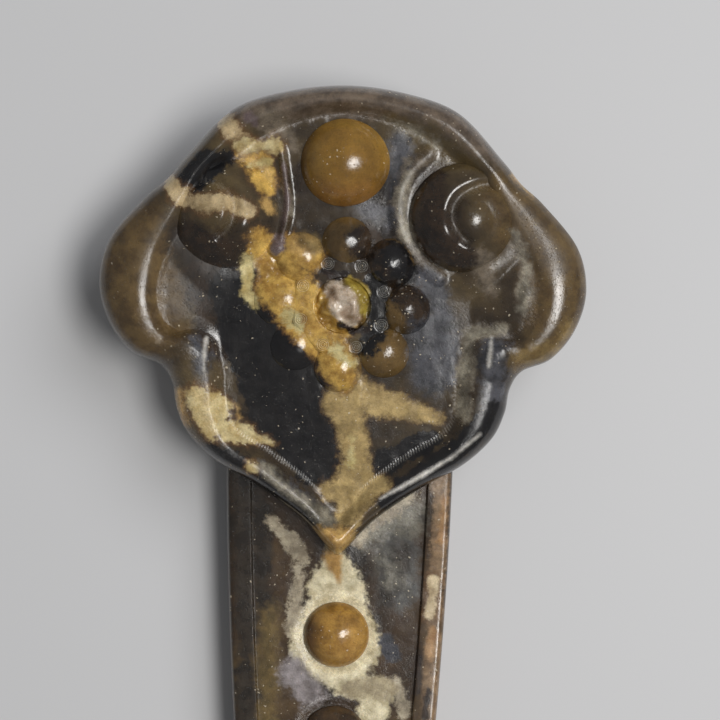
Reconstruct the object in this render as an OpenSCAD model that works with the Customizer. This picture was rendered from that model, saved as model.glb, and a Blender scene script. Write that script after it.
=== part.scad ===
// Jade ruyi scepter lying face up: cloud-shaped head plate, bossed and arched shaft, small cloud tail plate.
// Millimetres. +Y runs from the tail to the head, +Z is up and z = 0 is the table.

/* [Overall] */
// Length from the end of the tail to the top of the head
overall_len = 336; // [330:1:350]

/* [Head plate] */
// Width across the side lobes
head_w = 97; // [95:0.5:102]
// Length from the tip to the top
head_len = 94; // [92:0.5:98]
// Thickness from the back to the sunken field
head_field_t = 6; // [5.5:0.1:7]
// Height of the rolled rim over the field
head_rim_h = 2.6; // [1.8:0.1:3.2]
// Tilt of the face towards the tail, in degrees
head_tilt = 6; // [4:0.5:8]

/* [Head ornaments] */
// Radius of the pearl
pearl_r = 8.8; // [7.5:0.1:9.4]
// Height of the pearl over the field
pearl_h = 5.6; // [4:0.1:6.5]
// Distance from the head's top to the pearl's middle
pearl_drop = 15.2; // [14.8:0.1:16.5]
// Radius of each cloud scroll
scroll_r = 10.8; // [9.6:0.1:11]
// Height of a cloud scroll over the field
scroll_h = 5; // [4:0.1:6]
// Height of the steep side of a cloud scroll
scroll_side_h = 2; // [1.2:0.1:2.6]
// Distance from the head's axis to the ground between a scroll and the pearl
scroll_ground = 11.3; // [11.1:0.1:12]
// Distance from the head's top to a scroll's middle
scroll_drop = 25.6; // [25:0.1:26.4]
// Depth of the hooked groove in a scroll
hook_depth = 1; // [0.4:0.1:1.4]
// Half width of the hooked groove
hook_half_w = 0.9; // [0.6:0.1:1.1]
// Height of the two thin tendrils over the field
tendril_h = 1; // [0.6:0.1:1.4]
// Half width of the tendrils
tendril_half_w = 0.85; // [0.6:0.05:0.95]

/* [Flower] */
// Distance from the head's top to the flower's middle
flower_drop = 43.3; // [42.8:0.1:44.5]
// Radius of the ring on which the petals stand
petal_ring_r = 12.6; // [12.4:0.1:13]
// Turn of the petals from the head's axis, in degrees
petal_turn = -3; // [-6:0.5:6]
// Radius of a petal
petal_r = 4.15; // [3.8:0.05:4.3]
// Height of a petal over the field
petal_h = 3.4; // [2.4:0.1:4]
// Radius of the flower's centre
centre_r = 5.8; // [5.2:0.1:6.1]
// Height of the flower's centre over the field
centre_h = 4.6; // [3.6:0.1:5.4]
// Thickness of the flower's disc
disc_t = 1; // [0.8:0.1:1.6]
// Radius of the ring of drilled eyes
eye_ring_r = 8.7; // [8.5:0.05:8.9]
// Outer radius of a drilled eye
eye_r = 1.2; // [0.9:0.05:1.3]
// Depth of a drilled eye
eye_depth = 0.25; // [0.15:0.05:0.4]

/* [Shaft] */
// Width of the shaft at the neck
neck_w = 46; // [43:0.5:50]
// Width of the shaft at the waist
waist_w = 31; // [29:0.5:36]
// Width of the shaft under the tail plate
shank_w = 34; // [31:0.5:36]
// Distance from the head's tip to the waist
waist_drop = 132; // [115:1:145]
// Distance from the head's tip to the widest place of the neck, under the head
neck_in = 26; // [20:1:34]
// Thickness at the neck, from the table to the sunken field
neck_t = 10; // [9:0.1:12]
// Thickness near the tail, from the table to the sunken field
tail_t = 8; // [7.5:0.1:10]
// Rise of the arch under the shaft
arch_h = 8; // [5:0.5:11]
// Length of the shaft that rests on the table at the neck
neck_rest_len = 62; // [50:1:70]
// Length of the shaft that rests on the table at the tail
tail_rest_len = 20; // [15:1:24]
// Height of the raised border over the field
border_h = 1.2; // [0.8:0.1:1.6]
// Width of the raised border
border_w = 5.6; // [4.6:0.1:6.2]

/* [Shaft bosses] */
// Radius of a boss
boss_r = 6.7; // [6:0.1:7.2]
// Height of a boss over the field
boss_h = 4; // [3:0.1:4.8]
// Distance from the head's tip to the first boss
boss_gap_head = 16.9; // [15.5:0.1:20]
// Distance from the last boss to the tail's tip
boss_gap_tail = 14.3; // [12:0.1:18]

/* [Tail plate] */
// Width of the tail plate
tail_w = 46; // [44:0.5:50]
// Length of the tail plate
tail_len = 43; // [41:0.5:46]
// Thickness of the tail plate from the back to the field
tail_field_t = 4.6; // [4.2:0.1:5.4]
// Height of the tail plate's rim over the field
tail_rim_h = 1.5; // [1:0.1:1.9]
// Tilt that lifts the end of the tail, in degrees
tail_tilt = 5; // [3:0.5:7]
// Radius of the boss on the tail plate
tail_boss_r = 4.8; // [4:0.1:5.2]
// Height of the boss on the tail plate
tail_boss_h = 3; // [2.2:0.1:3.6]
// Radius of the hole for a tassel's cord
cord_hole_r = 2; // [1.5:0.1:2.2]
// Distance from the tail's end to the cord hole
cord_hole_drop = 8.6; // [8:0.1:9.4]

/* [Joints] */
// Depth of the round seat under each boss, petal and scroll
seat_depth = 0.5; // [0.3:0.1:0.8]
// Clearance round each seated piece, for cement
seat_gap = 0.06; // [0.04:0.01:0.1]
// Depth to which each plate is let into the shaft
let_in = 0.4; // [0.3:0.05:0.6]
// Clearance between a plate's edge and the borders cut back for it
lap_gap = 0.12; // [0.08:0.01:0.2]
// Length of the shaft under the head plate
head_lap = 60; // [56:1:66]
// Length of the tail plate past the end of the shaft
tail_over = 17.8; // [17:0.1:19]
// Radius of the head's dowels
dowel_r = 2.5; // [2:0.1:3]
// Depth of a dowel in the head plate
dowel_up = 3.6; // [3:0.1:4]
// Depth of a dowel in the shaft
dowel_down = 5.5; // [4:0.1:6.5]
// Distance of the head's first dowel from its tip
dowel_first = 22; // [20:0.5:24]
// Distance between the head's two dowels
dowel_pitch = 24; // [20:0.5:28]
// Radius of the tail's dowels
tail_dowel_r = 1.6; // [1.2:0.1:2]
// Depth of a dowel in the tail plate
tail_dowel_up = 2.8; // [2.2:0.1:3]
// Depth of a tail dowel in the shaft
tail_dowel_down = 4; // [3:0.1:5]
// Distance of the first tail dowel from the tail plate's tip
tail_dowel_first = 8; // [7:0.5:9]
// Distance between the tail's two dowels
tail_dowel_pitch = 11; // [9:0.5:12]
// Clearance round a dowel in its bore
dowel_gap = 0.05; // [0.03:0.01:0.08]

/* [Hidden] */
$fn = 64;
petals = 8;
bosses = 9;
petal_names = [for (i = [1:petals]) str("flower_petal_", i)];
boss_names = [for (i = [1:bosses]) str("shaft_boss_", i)];

// Colours of the stone and of the pins
stone_dark = [0.20, 0.17, 0.14];
stone_olive = [0.38, 0.30, 0.18];
stone_amber = [0.62, 0.40, 0.14];
stone_cream = [0.76, 0.66, 0.42];
brass = [0.78, 0.61, 0.33];

// Half of the cloud outline from its top to its tip: [edge x, edge y, rim's foot x, rim's foot y, crest],
// x as a share of the half width and y as a share of the length, both from the tip,
// and the crest's place as a share of the way from the edge to the foot
cloud_rows = [
    [0, 1, 0, 0.94, 0.46],
    [0.247, 0.985, 0.175, 0.923, 0.46],
    [0.462, 0.945, 0.34, 0.885, 0.46],
    [0.643, 0.849, 0.505, 0.814, 0.46],
    [0.722, 0.80, 0.577, 0.761, 0.48],
    [0.816, 0.757, 0.639, 0.713, 0.54],
    [0.957, 0.67, 0.713, 0.644, 0.6],
    [1, 0.579, 0.75, 0.564, 0.64],
    [0.957, 0.494, 0.73, 0.506, 0.62],
    [0.862, 0.432, 0.668, 0.481, 0.58],
    [0.746, 0.404, 0.598, 0.483, 0.56],
    [0.697, 0.366, 0.52, 0.462, 0.55],
    [0.678, 0.313, 0.482, 0.399, 0.55],
    [0.627, 0.257, 0.47, 0.324, 0.53],
    [0.511, 0.20, 0.425, 0.272, 0.48],
    [0.34, 0.148, 0.293, 0.228, 0.46],
    [0.155, 0.079, 0.136, 0.168, 0.46],
    [0.045, 0.02, 0.041, 0.113, 0.46],
    [0, 0, 0, 0.096, 0.46]
];
head_steps = 3;
tail_steps = 2;
// Height of the lowest and the highest full-width line of a plate's edge
edge_low = 0.9;
edge_high = 2.4;
// Share of the rim's width by which the back edge is rounded in
back_inset = 0.1;
// Share of the head's half width at which the rim's foot passes the scrolls
scroll_foot_share = 0.74;
flank_steps = 4;

// Paths of the tendrils: [distance outwards from the ground beside the scroll, distance from the head's top]
left_tendril = [[1.3, 13], [0.5, 17.6], [-0.2, 22.6], [0, 26.4], [0.8, 29.6], [1.6, 32.4]];
right_tendril = [[5.1, 13], [1.7, 16.6], [-0.2, 20.6], [-0.6, 25.4], [0.7, 29.8], [3.3, 33.8], [7.7, 37.4]];
bulb_r = 1.6;
bulb_h = 1.5;
tendril_root = 0.3;
tendril_start = 0.35;
tendril_sides = [0, 50, 90, 130, 180];
tendril_steps = 3;

// Hooked groove of the right scroll, from its middle, in shares of the scroll's radius
hook = [
    [1, 0.36], [0.72, 0.56], [0.34, 0.6], [0, 0.48],
    [-0.17, 0.26], [-0.19, -0.02], [-0.08, -0.26], [0.04, -0.36]
];
scroll_sides = 48;
scroll_rings = 12;
// Radius of the flat at the middle of a scroll, and place of its outermost ring, in steps from the edge
scroll_flat_r = 0.2;
scroll_first = 0.4;

// How the borders round off to the shaft's sides
side_round = [[0, 2.2], [0.7, 0.8], [1.8, 0.15], [3, 0], [4.3, 0.35]];
under_round = [[0, 2.6], [1, 0.8], [3.2, 0]];
shaft_stations = 56;
// Half length of the bend where a level stretch turns into a slope
ease = 9;
// How far past the tail plate's tip the tail's rest begins
tail_rest_in = 6;
// Length over which the shaft's front corners are rounded, twice that of the back corners,
// how much of the width they lose, and slope of the underside at the front
front_round = 14;
corner_loss = 0.5;
front_lift = 0.24;
// Radius of the core left in an eye, and width of the disc outside the eyes
eye_core = 0.6;
eye_margin = 0.4;
// How far the cuts run clear of a piece's top and back
above = 20;
below = 1;

// Places that follow from the sizes
head_tip_y = overall_len / 2 - (head_len * cos(head_tilt) - edge_low * sin(head_tilt));
tail_tip_y = -overall_len / 2 + (tail_len * cos(tail_tilt) - edge_low * sin(tail_tilt));
front_y = head_tip_y + head_lap * cos(head_tilt);
back_y = -overall_len / 2 + tail_over;
waist_y = head_tip_y - waist_drop;
neck_y = head_tip_y + neck_in;
neck_rest_y = neck_y - neck_rest_len;
lift_y = neck_y;
tail_rest_y = tail_tip_y + tail_rest_in;
tail_lift_y = tail_rest_y - tail_rest_len;
boss_first_y = head_tip_y - boss_gap_head;
boss_last_y = tail_tip_y + boss_gap_tail;
boss_pitch = (boss_first_y - boss_last_y) / (bosses - 1);
pearl_y = head_len - pearl_drop;
flower_y = head_len - flower_drop;
scroll_x = (scroll_foot_share * head_w / 2 + scroll_ground) / 2;
scroll_y = head_len - scroll_drop;
tail_boss_y = tail_len * 0.5;
bulb = tendril_point(left_tendril[len(left_tendril) - 1], -1);
cord_hole_y = tail_len - cord_hole_drop;

// Smooth curve between p1 and p2
function spline(p0, p1, p2, p3, t) = 0.5 * (
    2 * p1 + (p2 - p0) * t + (2 * p0 - 5 * p1 + 4 * p2 - p3) * t * t
    + (3 * p1 - p0 - 3 * p2 + p3) * t * t * t
);
// The same curve through a list of points, with steps points for each span
function smooth_path(p, steps) = let (n = len(p)) concat(
    [for (k = [0:n - 2], j = [0:steps - 1])
        spline(p[max(k - 1, 0)], p[k], p[k + 1], p[min(k + 2, n - 1)], j / steps)],
    [p[n - 1]]
);
function mirrored(r) = [-r[0], r[1], -r[2], r[3], r[4]];
function cloud_row(k) = let (last = len(cloud_rows) - 1)
    k < 0 ? mirrored(cloud_rows[-k]) : k > last ? mirrored(cloud_rows[2 * last - k]) : cloud_rows[k];
// Whole outline, anticlockwise from the top
function cloud_loop(steps) = let (
    last = len(cloud_rows) - 1,
    half = [for (k = [0:last - 1], j = [0:steps - 1])
        spline(cloud_row(k - 1), cloud_row(k), cloud_row(k + 1), cloud_row(k + 2), j / steps)]
) concat(
    [for (r = half) mirrored(r)],
    [cloud_rows[last]],
    [for (i = [len(half) - 1:-1:1]) half[i]]
);
// One level line round a plate, at base + slope * crest of the way from its edge to the foot of its rim
function level(rows, w, l, base, slope, z) = [for (r = rows) let (share = base + slope * r[4])
    [(r[0] + (r[2] - r[0]) * share) * w / 2, (r[1] + (r[3] - r[1]) * share) * l, z]];
// Level lines of a plate with a rolled rim, from the back up and over to the sunken field
function plate_levels(rows, w, l, field_t, rim_h) = let (crest_z = field_t + rim_h) concat(
    [level(rows, w, l, back_inset, 0, 0), level(rows, w, l, 0, 0, edge_low)],
    [for (i = [0:flank_steps]) let (a = 90 * i / flank_steps)
        level(rows, w, l, 0, 1 - cos(a), edge_high + (crest_z - edge_high) * sin(a))],
    [for (i = [1:flank_steps]) let (part = i / flank_steps)
        level(rows, w, l, part, 1 - part, field_t + rim_h * (1 + cos(180 * part)) / 2)]
);
// Distance from point p to the line of points path
function segment_distance(p, a, b) = let (
    d = b - a,
    t = min(1, max(0, (p - a) * d / (d * d)))
) norm(p - a - d * t);
function path_distance(p, path) =
    min([for (i = [0:len(path) - 2]) segment_distance(p, path[i], path[i + 1])]);
// A slope that starts gently: 0 well before d = 0 and d well past it
function ramp(d, blend) = d < -blend ? 0 : d > blend ? d : pow(d + blend, 2) / (4 * blend);
// 0 to 1 between a and b, level at both ends
function eased(v, a, b) = let (t = min(1, max(0, (v - a) / (b - a)))) (1 - cos(180 * t)) / 2;

function arch_z(y) = let (t = (y - tail_rest_y) / (neck_rest_y - tail_rest_y))
    t <= 0 || t >= 1 ? 0 : arch_h * (1 - cos(360 * t)) / 2;
function under_z(y) = arch_z(y) + front_lift * ramp(y - lift_y, ease)
    + tan(tail_tilt) * ramp(tail_lift_y - y, ease);
function field_z(y) = arch_z(y) + tail_t + (neck_t - tail_t) * eased(y, tail_rest_y, neck_rest_y)
    + tan(head_tilt) * ramp(y - head_tip_y, ease) + tan(tail_tilt) * ramp(tail_tip_y - y, ease);
function side_x(y) = let (
    w = y > waist_y
        ? waist_w + (neck_w - waist_w) * eased(y, waist_y, neck_y)
        : waist_w + (shank_w - waist_w) * eased(-y, -waist_y, -tail_tip_y),
    front = max(0, (y - front_y + front_round) / front_round),
    back = max(0, (back_y + front_round / 2 - y) / front_round * 2)
) w / 2 * sqrt(1 - corner_loss * front * front) * sqrt(1 - corner_loss * back * back);
// Slope of the field along y, in degrees
function field_slope(y) = atan(field_z(y + 0.5) - field_z(y - 0.5));
// Outline of the shaft's section at y, from the foot of one border round the bottom to the other
function section(y) = let (
    x = side_x(y), top = field_z(y) + border_h, bottom = under_z(y),
    half = concat(
        [[x - border_w, field_z(y)]],
        [for (i = [len(side_round) - 1:-1:0]) [x - side_round[i][0], top - side_round[i][1]]],
        [for (p = under_round) [x - p[0], bottom + p[1]]]
    )
) concat(
    [for (p = half) [p[0], y, p[1]]],
    [for (i = [len(half) - 1:-1:0]) [-half[i][0], y, half[i][1]]]
);

// Closed solid through a stack of rings with the same number of points, anticlockwise seen from the last ring
module stack(rings) {
    n = len(rings[0]);
    m = len(rings);
    polyhedron(
        points = [for (r = rings) each r],
        faces = concat(
            [[for (i = [0:n - 1]) i]],
            [for (j = [0:m - 2], i = [0:n - 1]) [j * n + i, (j + 1) * n + i, (j + 1) * n + (i + 1) % n]],
            [for (j = [0:m - 2], i = [0:n - 1]) [j * n + i, (j + 1) * n + (i + 1) % n, j * n + (i + 1) % n]],
            [[for (i = [n - 1:-1:0]) (m - 1) * n + i]]
        )
    );
}

// Round-topped stone of radius r that stands h over its seat and goes down into it
module cabochon(r, h) {
    ball = (r * r + h * h) / (2 * h);
    intersection() {
        translate([0, 0, -seat_depth]) cylinder(r = r, h = above);
        translate([0, 0, h - ball]) sphere(r = ball);
    }
}

// Round cut in which a piece of radius r is seated
module seat(r) {
    translate([0, 0, -seat_depth]) cylinder(r = r + seat_gap, h = above);
}

// Places things in the head plate's own frame: origin at the tip of its back, y to its top
module on_head() {
    translate([0, head_tip_y, neck_t - let_in]) rotate([head_tilt, 0, 0]) children();
}

// The same for the tail plate, whose top points the other way
module on_tail() {
    translate([0, tail_tip_y, tail_t - let_in]) rotate([-tail_tilt, 0, 0]) rotate([0, 0, 180]) children();
}

// Places a thing on the head's sunken field, at x and the distance y from the tip
module on_field(x, y) {
    translate([x, y, head_field_t]) children();
}

// Places a thing on the shaft's field at y, square to its slope
module on_shaft(y) {
    translate([0, y, field_z(y)]) rotate([field_slope(y), 0, 0]) children();
}

module at_petal(i) {
    a = 360 / petals * (i - 1) + petal_turn;
    on_field(petal_ring_r * cos(a), flower_y + petal_ring_r * sin(a)) children();
}

// Places a point of a tendril on the head, on its left (side -1) or right (side 1)
function tendril_point(p, side) = [side * (scroll_ground + p[0]), head_len - p[1]];

// Half-round ridge on the field that swells from its start
module ridge(path, side) {
    line = smooth_path([for (p = path) tendril_point(p, side)], tendril_steps);
    n = len(line);
    stack([for (i = [0:n - 1]) let (
        along = line[min(i + 1, n - 1)] - line[max(i - 1, 0)],
        t = along / norm(along),
        size = tendril_start + (1 - tendril_start) * eased(i, 0, n / 3)
    ) [for (a = tendril_sides) let (
        out = cos(a) * tendril_half_w * size,
        rise = a == 0 || a == 180 ? -tendril_root : sin(a) * tendril_h * size
    ) [line[i][0] - t[1] * out, line[i][1] + t[0] * out, rise]]]);
}

module dowel_pair(r, first, pitch, up, down, gap) {
    for (y = [first, first + pitch])
        translate([0, y, -down]) cylinder(r = r + gap, h = up + down);
}

// Room for a plate, with clearance round its edge
module plate_room(rows, w, l) {
    edge = level(rows, w + 2 * lap_gap, l + 2 * lap_gap, 0, 0, 0);
    translate([0, -lap_gap, 0]) linear_extrude(above) polygon([for (p = edge) [p[0], p[1]]]);
}

module head_dowel_bores() {
    dowel_pair(dowel_r, dowel_first, dowel_pitch, dowel_up, dowel_down, dowel_gap);
}

module tail_dowel_bores() {
    dowel_pair(tail_dowel_r, tail_dowel_first, tail_dowel_pitch, tail_dowel_up, tail_dowel_down, dowel_gap);
}

module head_plate() {
    color(stone_dark) on_head() difference() {
        union() {
            stack(plate_levels(cloud_loop(head_steps), head_w, head_len, head_field_t, head_rim_h));
            translate([0, 0, head_field_t]) {
                ridge(left_tendril, -1);
                ridge(right_tendril, 1);
            }
            on_field(bulb[0], bulb[1]) cabochon(bulb_r, bulb_h);
        }
        on_field(0, pearl_y) seat(pearl_r);
        on_field(scroll_x, scroll_y) seat(scroll_r);
        on_field(-scroll_x, scroll_y) seat(scroll_r);
        on_field(0, flower_y) seat(centre_r);
        for (i = [1:petals]) at_petal(i) seat(petal_r);
        head_dowel_bores();
    }
}

module pearl() {
    color(stone_olive) on_head() on_field(0, pearl_y) cabochon(pearl_r, pearl_h);
}

// Height of the right scroll's top at p = [x, y] from its middle
function scroll_top(p) = let (
    share = min(1, norm(p) / scroll_r),
    groove = path_distance(p, scroll_r * hook) / hook_half_w
) scroll_side_h + (scroll_h - scroll_side_h) * sqrt(1 - share * share) - hook_depth * exp(-groove * groove);

module cloud_scroll() {
    ring = [for (i = [0:scroll_sides - 1]) let (a = 360 * i / scroll_sides) [cos(a), sin(a)]];
    radii = [for (k = [0:scroll_rings - 1]) scroll_r * cos(90 * (k + scroll_first) / scroll_rings)];
    stack(concat(
        [for (z = [-seat_depth, scroll_side_h - hook_depth])
            [for (d = ring) [scroll_r * d[0], scroll_r * d[1], z]]],
        [for (r = radii) [for (d = ring) [r * d[0], r * d[1], scroll_top(r * d)]]],
        [[for (d = ring) [scroll_flat_r * d[0], scroll_flat_r * d[1], scroll_top([0, 0])]]]
    ));
}

module left_cloud_scroll() {
    color(stone_olive) on_head() on_field(-scroll_x, scroll_y) mirror([1, 0, 0]) cloud_scroll();
}

module right_cloud_scroll() {
    color(stone_olive) on_head() on_field(scroll_x, scroll_y) cloud_scroll();
}

// Drilled eye: a round groove with a core left standing
module eye() {
    translate([0, 0, disc_t - eye_depth]) difference() {
        cylinder(r = eye_r, h = above, $fn = 24);
        cylinder(r = eye_core, h = above, $fn = 24);
    }
}

module flower_disc() {
    color(stone_dark) on_head() difference() {
        on_field(0, flower_y) difference() {
            cylinder(r = eye_ring_r + eye_r + eye_margin, h = disc_t);
            translate([0, 0, -below]) cylinder(r = centre_r + seat_gap, h = above);
            for (i = [1:petals])
                rotate([0, 0, 360 / petals * (i - 0.5) + petal_turn]) translate([eye_ring_r, 0, 0]) eye();
        }
        for (i = [1:petals]) at_petal(i) seat(petal_r);
    }
}

module flower_centre() {
    color(stone_cream) on_head() on_field(0, flower_y) cabochon(centre_r, centre_h);
}

module flower_petal(i) {
    color(stone_olive) on_head() at_petal(i) cabochon(petal_r, petal_h);
}

module shaft() {
    color(stone_dark) difference() {
        stack([for (i = [0:shaft_stations]) section(back_y + (front_y - back_y) * i / shaft_stations)]);
        on_head() {
            plate_room(cloud_loop(head_steps), head_w, head_len);
            head_dowel_bores();
        }
        on_tail() {
            plate_room(cloud_loop(tail_steps), tail_w, tail_len);
            tail_dowel_bores();
        }
        for (i = [1:bosses]) on_shaft(boss_first_y - boss_pitch * (i - 1)) seat(boss_r);
    }
}

module shaft_boss(i) {
    color(stone_amber) on_shaft(boss_first_y - boss_pitch * (i - 1)) cabochon(boss_r, boss_h);
}

module tail_plate() {
    color(stone_dark) on_tail() difference() {
        stack(plate_levels(cloud_loop(tail_steps), tail_w, tail_len, tail_field_t, tail_rim_h));
        translate([0, tail_boss_y, tail_field_t]) seat(tail_boss_r);
        translate([0, cord_hole_y, -below]) cylinder(r = cord_hole_r, h = above);
        tail_dowel_bores();
    }
}

module tail_boss() {
    color(stone_amber) on_tail() translate([0, tail_boss_y, tail_field_t]) cabochon(tail_boss_r, tail_boss_h);
}

module head_dowels() {
    color(brass) on_head() dowel_pair(dowel_r, dowel_first, dowel_pitch, dowel_up, dowel_down, 0);
}

module tail_dowels() {
    color(brass) on_tail()
        dowel_pair(tail_dowel_r, tail_dowel_first, tail_dowel_pitch, tail_dowel_up, tail_dowel_down, 0);
}

head_plate();
pearl();
left_cloud_scroll();
right_cloud_scroll();
flower_disc();
flower_centre();
for (i = [1:petals]) flower_petal(i);
shaft();
for (i = [1:bosses]) shaft_boss(i);
tail_plate();
tail_boss();
head_dowels();
tail_dowels();
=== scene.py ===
# %% [markdown]
# A ruyi is a ceremonial scepter: a cloud-shaped head and a smaller tail on a long curved shaft. This one is
# dark mottled jade with stones set in it, and it lies face up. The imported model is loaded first. It gives
# every piece's size and place, and the finished pieces are built round those numbers. Lengths below are in
# millimetres, because a carver's sizes are easy to read that way, and they turn into metres when a mesh is
# made.

# %% The frame
import bpy
import itertools
import math
import numpy as np
from mathutils import Matrix, Vector


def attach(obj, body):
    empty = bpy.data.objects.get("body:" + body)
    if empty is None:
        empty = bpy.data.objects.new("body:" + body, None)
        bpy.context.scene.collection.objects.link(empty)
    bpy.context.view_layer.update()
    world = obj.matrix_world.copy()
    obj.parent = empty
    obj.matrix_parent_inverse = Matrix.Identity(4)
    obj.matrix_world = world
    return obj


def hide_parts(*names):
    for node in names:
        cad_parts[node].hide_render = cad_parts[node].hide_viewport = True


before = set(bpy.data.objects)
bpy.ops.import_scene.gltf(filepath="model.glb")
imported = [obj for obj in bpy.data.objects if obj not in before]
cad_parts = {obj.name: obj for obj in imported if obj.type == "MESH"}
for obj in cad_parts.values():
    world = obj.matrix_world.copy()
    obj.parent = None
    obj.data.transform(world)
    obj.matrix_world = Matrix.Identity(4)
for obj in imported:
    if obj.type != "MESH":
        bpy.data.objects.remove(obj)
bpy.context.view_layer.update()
MM = 0.001

# %% Sizes that the pieces share with the model
overall_len = 336.0
head_w, head_len, head_tilt = 97.0, 94.0, 6.0
head_field_t, head_rim_h = 6.0, 2.6
tail_w, tail_len, tail_tilt = 46.0, 43.0, 5.0
tail_field_t, tail_rim_h = 4.6, 1.5
edge_low, edge_high, back_inset = 0.9, 2.4, 0.1
pearl_r, pearl_h, pearl_y = 8.8, 5.6, 78.8
scroll_r, scroll_h, scroll_x, scroll_y = 10.8, 5.0, 23.6, 68.4
flower_y, petal_ring_r, petal_r, petal_h, petal_turn, petals = 50.7, 12.6, 4.15, 3.4, -3.0, 8
centre_r, centre_h, disc_t, eye_ring_r, eye_r = 5.8, 4.6, 1.0, 8.7, 1.2
boss_r, boss_h, bosses = 6.7, 4.0, 9
tail_boss_r, tail_boss_h, tail_boss_y = 4.8, 3.0, 21.5
cord_hole_r, cord_hole_y = 2.0, 34.4
seat_depth, let_in = 0.5, 0.4
neck_w, waist_w, shank_w = 46.0, 31.0, 34.0
neck_t, tail_t, arch_h = 10.0, 8.0, 8.0
neck_in, waist_drop, head_lap, tail_over = 26.0, 132.0, 60.0, 17.8
neck_rest_len, tail_rest_len = 62.0, 20.0
boss_gap_head, boss_gap_tail = 16.9, 14.3
ease, front_round, front_lift = 9.0, 14.0, 0.24


def cos(a):
    return math.cos(math.radians(a))


def sin(a):
    return math.sin(math.radians(a))


head_tip_y = overall_len / 2 - (head_len * cos(head_tilt) - edge_low * sin(head_tilt))
tail_tip_y = -overall_len / 2 + (tail_len * cos(tail_tilt) - edge_low * sin(tail_tilt))
front_y = head_tip_y + head_lap * cos(head_tilt)
back_y = -overall_len / 2 + tail_over
print("head tip", round(head_tip_y, 2), "tail tip", round(tail_tip_y, 2))

# %% [markdown]
# The photograph was taken by hand from straight above, in a room with one soft lamp. The camera could be
# placed by eye, but a distance and a scale can be worked out: it hangs over the head, a little turned, and
# 430 mm away it has the same slight perspective. Two lights are enough. The ceiling lamp is what is
# mirrored on the domes, so its size and lean set the size and place of each highlight. The window gives
# most of the light and the soft shadow, and isn't mirrored.

# %% Camera, lights and floor
photo_px, photo_mm_per_px = 720, 0.2
sensor_w = 36.0
camera_height = 430.0
camera_aim = (3.7, 113.6, 17.0)
camera_roll = 1.12


def show(name, data):
    """A new object in the scene."""
    made = bpy.data.objects.new(name, data)
    bpy.context.scene.collection.objects.link(made)
    return made


camera = show("camera", bpy.data.cameras.new("camera"))
camera.data.sensor_width = sensor_w
camera.data.lens = sensor_w * camera_height / (photo_px * photo_mm_per_px)
camera.data.clip_start = 0.01
camera.data.clip_end = 20.0
camera.location = Vector((camera_aim[0], camera_aim[1], camera_aim[2] + camera_height)) * MM
camera.rotation_euler = (0, 0, math.radians(camera_roll))
bpy.context.scene.camera = camera


def lamp(name, place, target, size, power, colour=(1, 1, 1), shape="DISK"):
    """An area light at place (mm) that faces target (mm)."""
    data = bpy.data.lights.new(name, "AREA")
    data.shape = shape
    data.size = size * MM
    data.energy = power
    data.color = colour
    light = show(name, data)
    light.location = Vector(place) * MM
    light.rotation_euler = (Vector(target) - Vector(place)).to_track_quat("-Z", "Y").to_euler()
    return light


head_middle = (0.0, 125.0, 15.0)
lamp_long, lamp_short, window_wide = 440, 360, 1100
lamp_power, window_power, room_light = 5.0, 11.6, 0.165
daylight = (0.97, 0.98, 1.0)
ceiling_lamp = lamp("ceiling_lamp", (385, 60, 957), head_middle, lamp_long, lamp_power, (1.0, 0.985, 0.96), "ELLIPSE")
ceiling_lamp.data.size_y = lamp_short * MM
window = lamp("window", (850, 750, 1250), head_middle, window_wide, window_power, daylight)
window.visible_glossy = False

world = bpy.data.worlds.new("room")
world.use_nodes = True
room = world.node_tree.nodes["Background"].inputs
room["Color"].default_value = (*daylight, 1)
room["Strength"].default_value = room_light
bpy.context.scene.world = world
bpy.context.scene.view_settings.view_transform = "Standard"

# %% [markdown]
# Ground stone has no straight lines and no seams, so a mesh made of rows of points suits it: rings round a
# plate, or rings up a dome. Sculpting could do it too, but numbers can be changed later. One helper joins
# such rows into a closed surface. Another gives each vertex the numbers that the stone's material reads,
# such as how frosted the grinding left it.

# %% Helpers for meshes
def dress(name, mesh, points, material, veins, level, **attributes):
    """A new object from a mesh, its points in mm, its stone, and a float attribute for each further argument."""
    attributes = {"chatter": 0, "along": 0, **attributes}
    attributes.update({"vein_" + key: depth for key, depth in vein_depths(points, veins, level).items()})
    mesh.vertices.foreach_set("co", (np.asarray(points) * MM).astype(np.float32).ravel())
    mesh.polygons.foreach_set("use_smooth", [True] * len(mesh.polygons))
    for key, values in attributes.items():
        layer = mesh.attributes.get(key) or mesh.attributes.new(key, "FLOAT", "POINT")
        layer.data.foreach_set("value", np.full(len(points), values, dtype=np.float32))
    mesh.materials.clear()
    mesh.materials.append(material)
    mesh.update()
    print(name, len(mesh.vertices), "vertices")
    return show(name, mesh)


def mesh_piece(name, points, faces, material, veins, level, **attributes):
    """The same from points in mm and faces."""
    mesh = bpy.data.meshes.new(name)
    mesh.from_pydata([tuple(p) for p in points], [], faces)
    return dress(name, mesh, points, material, veins, level, **attributes)


def ring_faces(rings, count, closed=False, caps=False):
    """Quads between rings of count points. closed joins the last ring to the first, and caps fills both ends."""
    faces = []
    for j in range(rings if closed else rings - 1):
        a, b = j * count, (j + 1) % rings * count
        faces += [(a + i, a + (i + 1) % count, b + (i + 1) % count, b + i) for i in range(count)]
    if caps:
        faces += [tuple(range(count))[::-1], tuple((rings - 1) * count + i for i in range(count))]
    return faces


def path_lengths(path):
    """How far along a line of points each point lies."""
    return np.concatenate([[0], np.cumsum(np.linalg.norm(np.diff(path, axis=0), axis=1))])


def circles(radii, heights, sides):
    """Points on level circles round the origin, one circle for each radius and height."""
    angles = np.linspace(0, 2 * math.pi, sides, endpoint=False)
    return np.vstack([np.column_stack([r * np.cos(angles), r * np.sin(angles), np.full(sides, z)])
                      for r, z in zip(radii, heights)])


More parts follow.
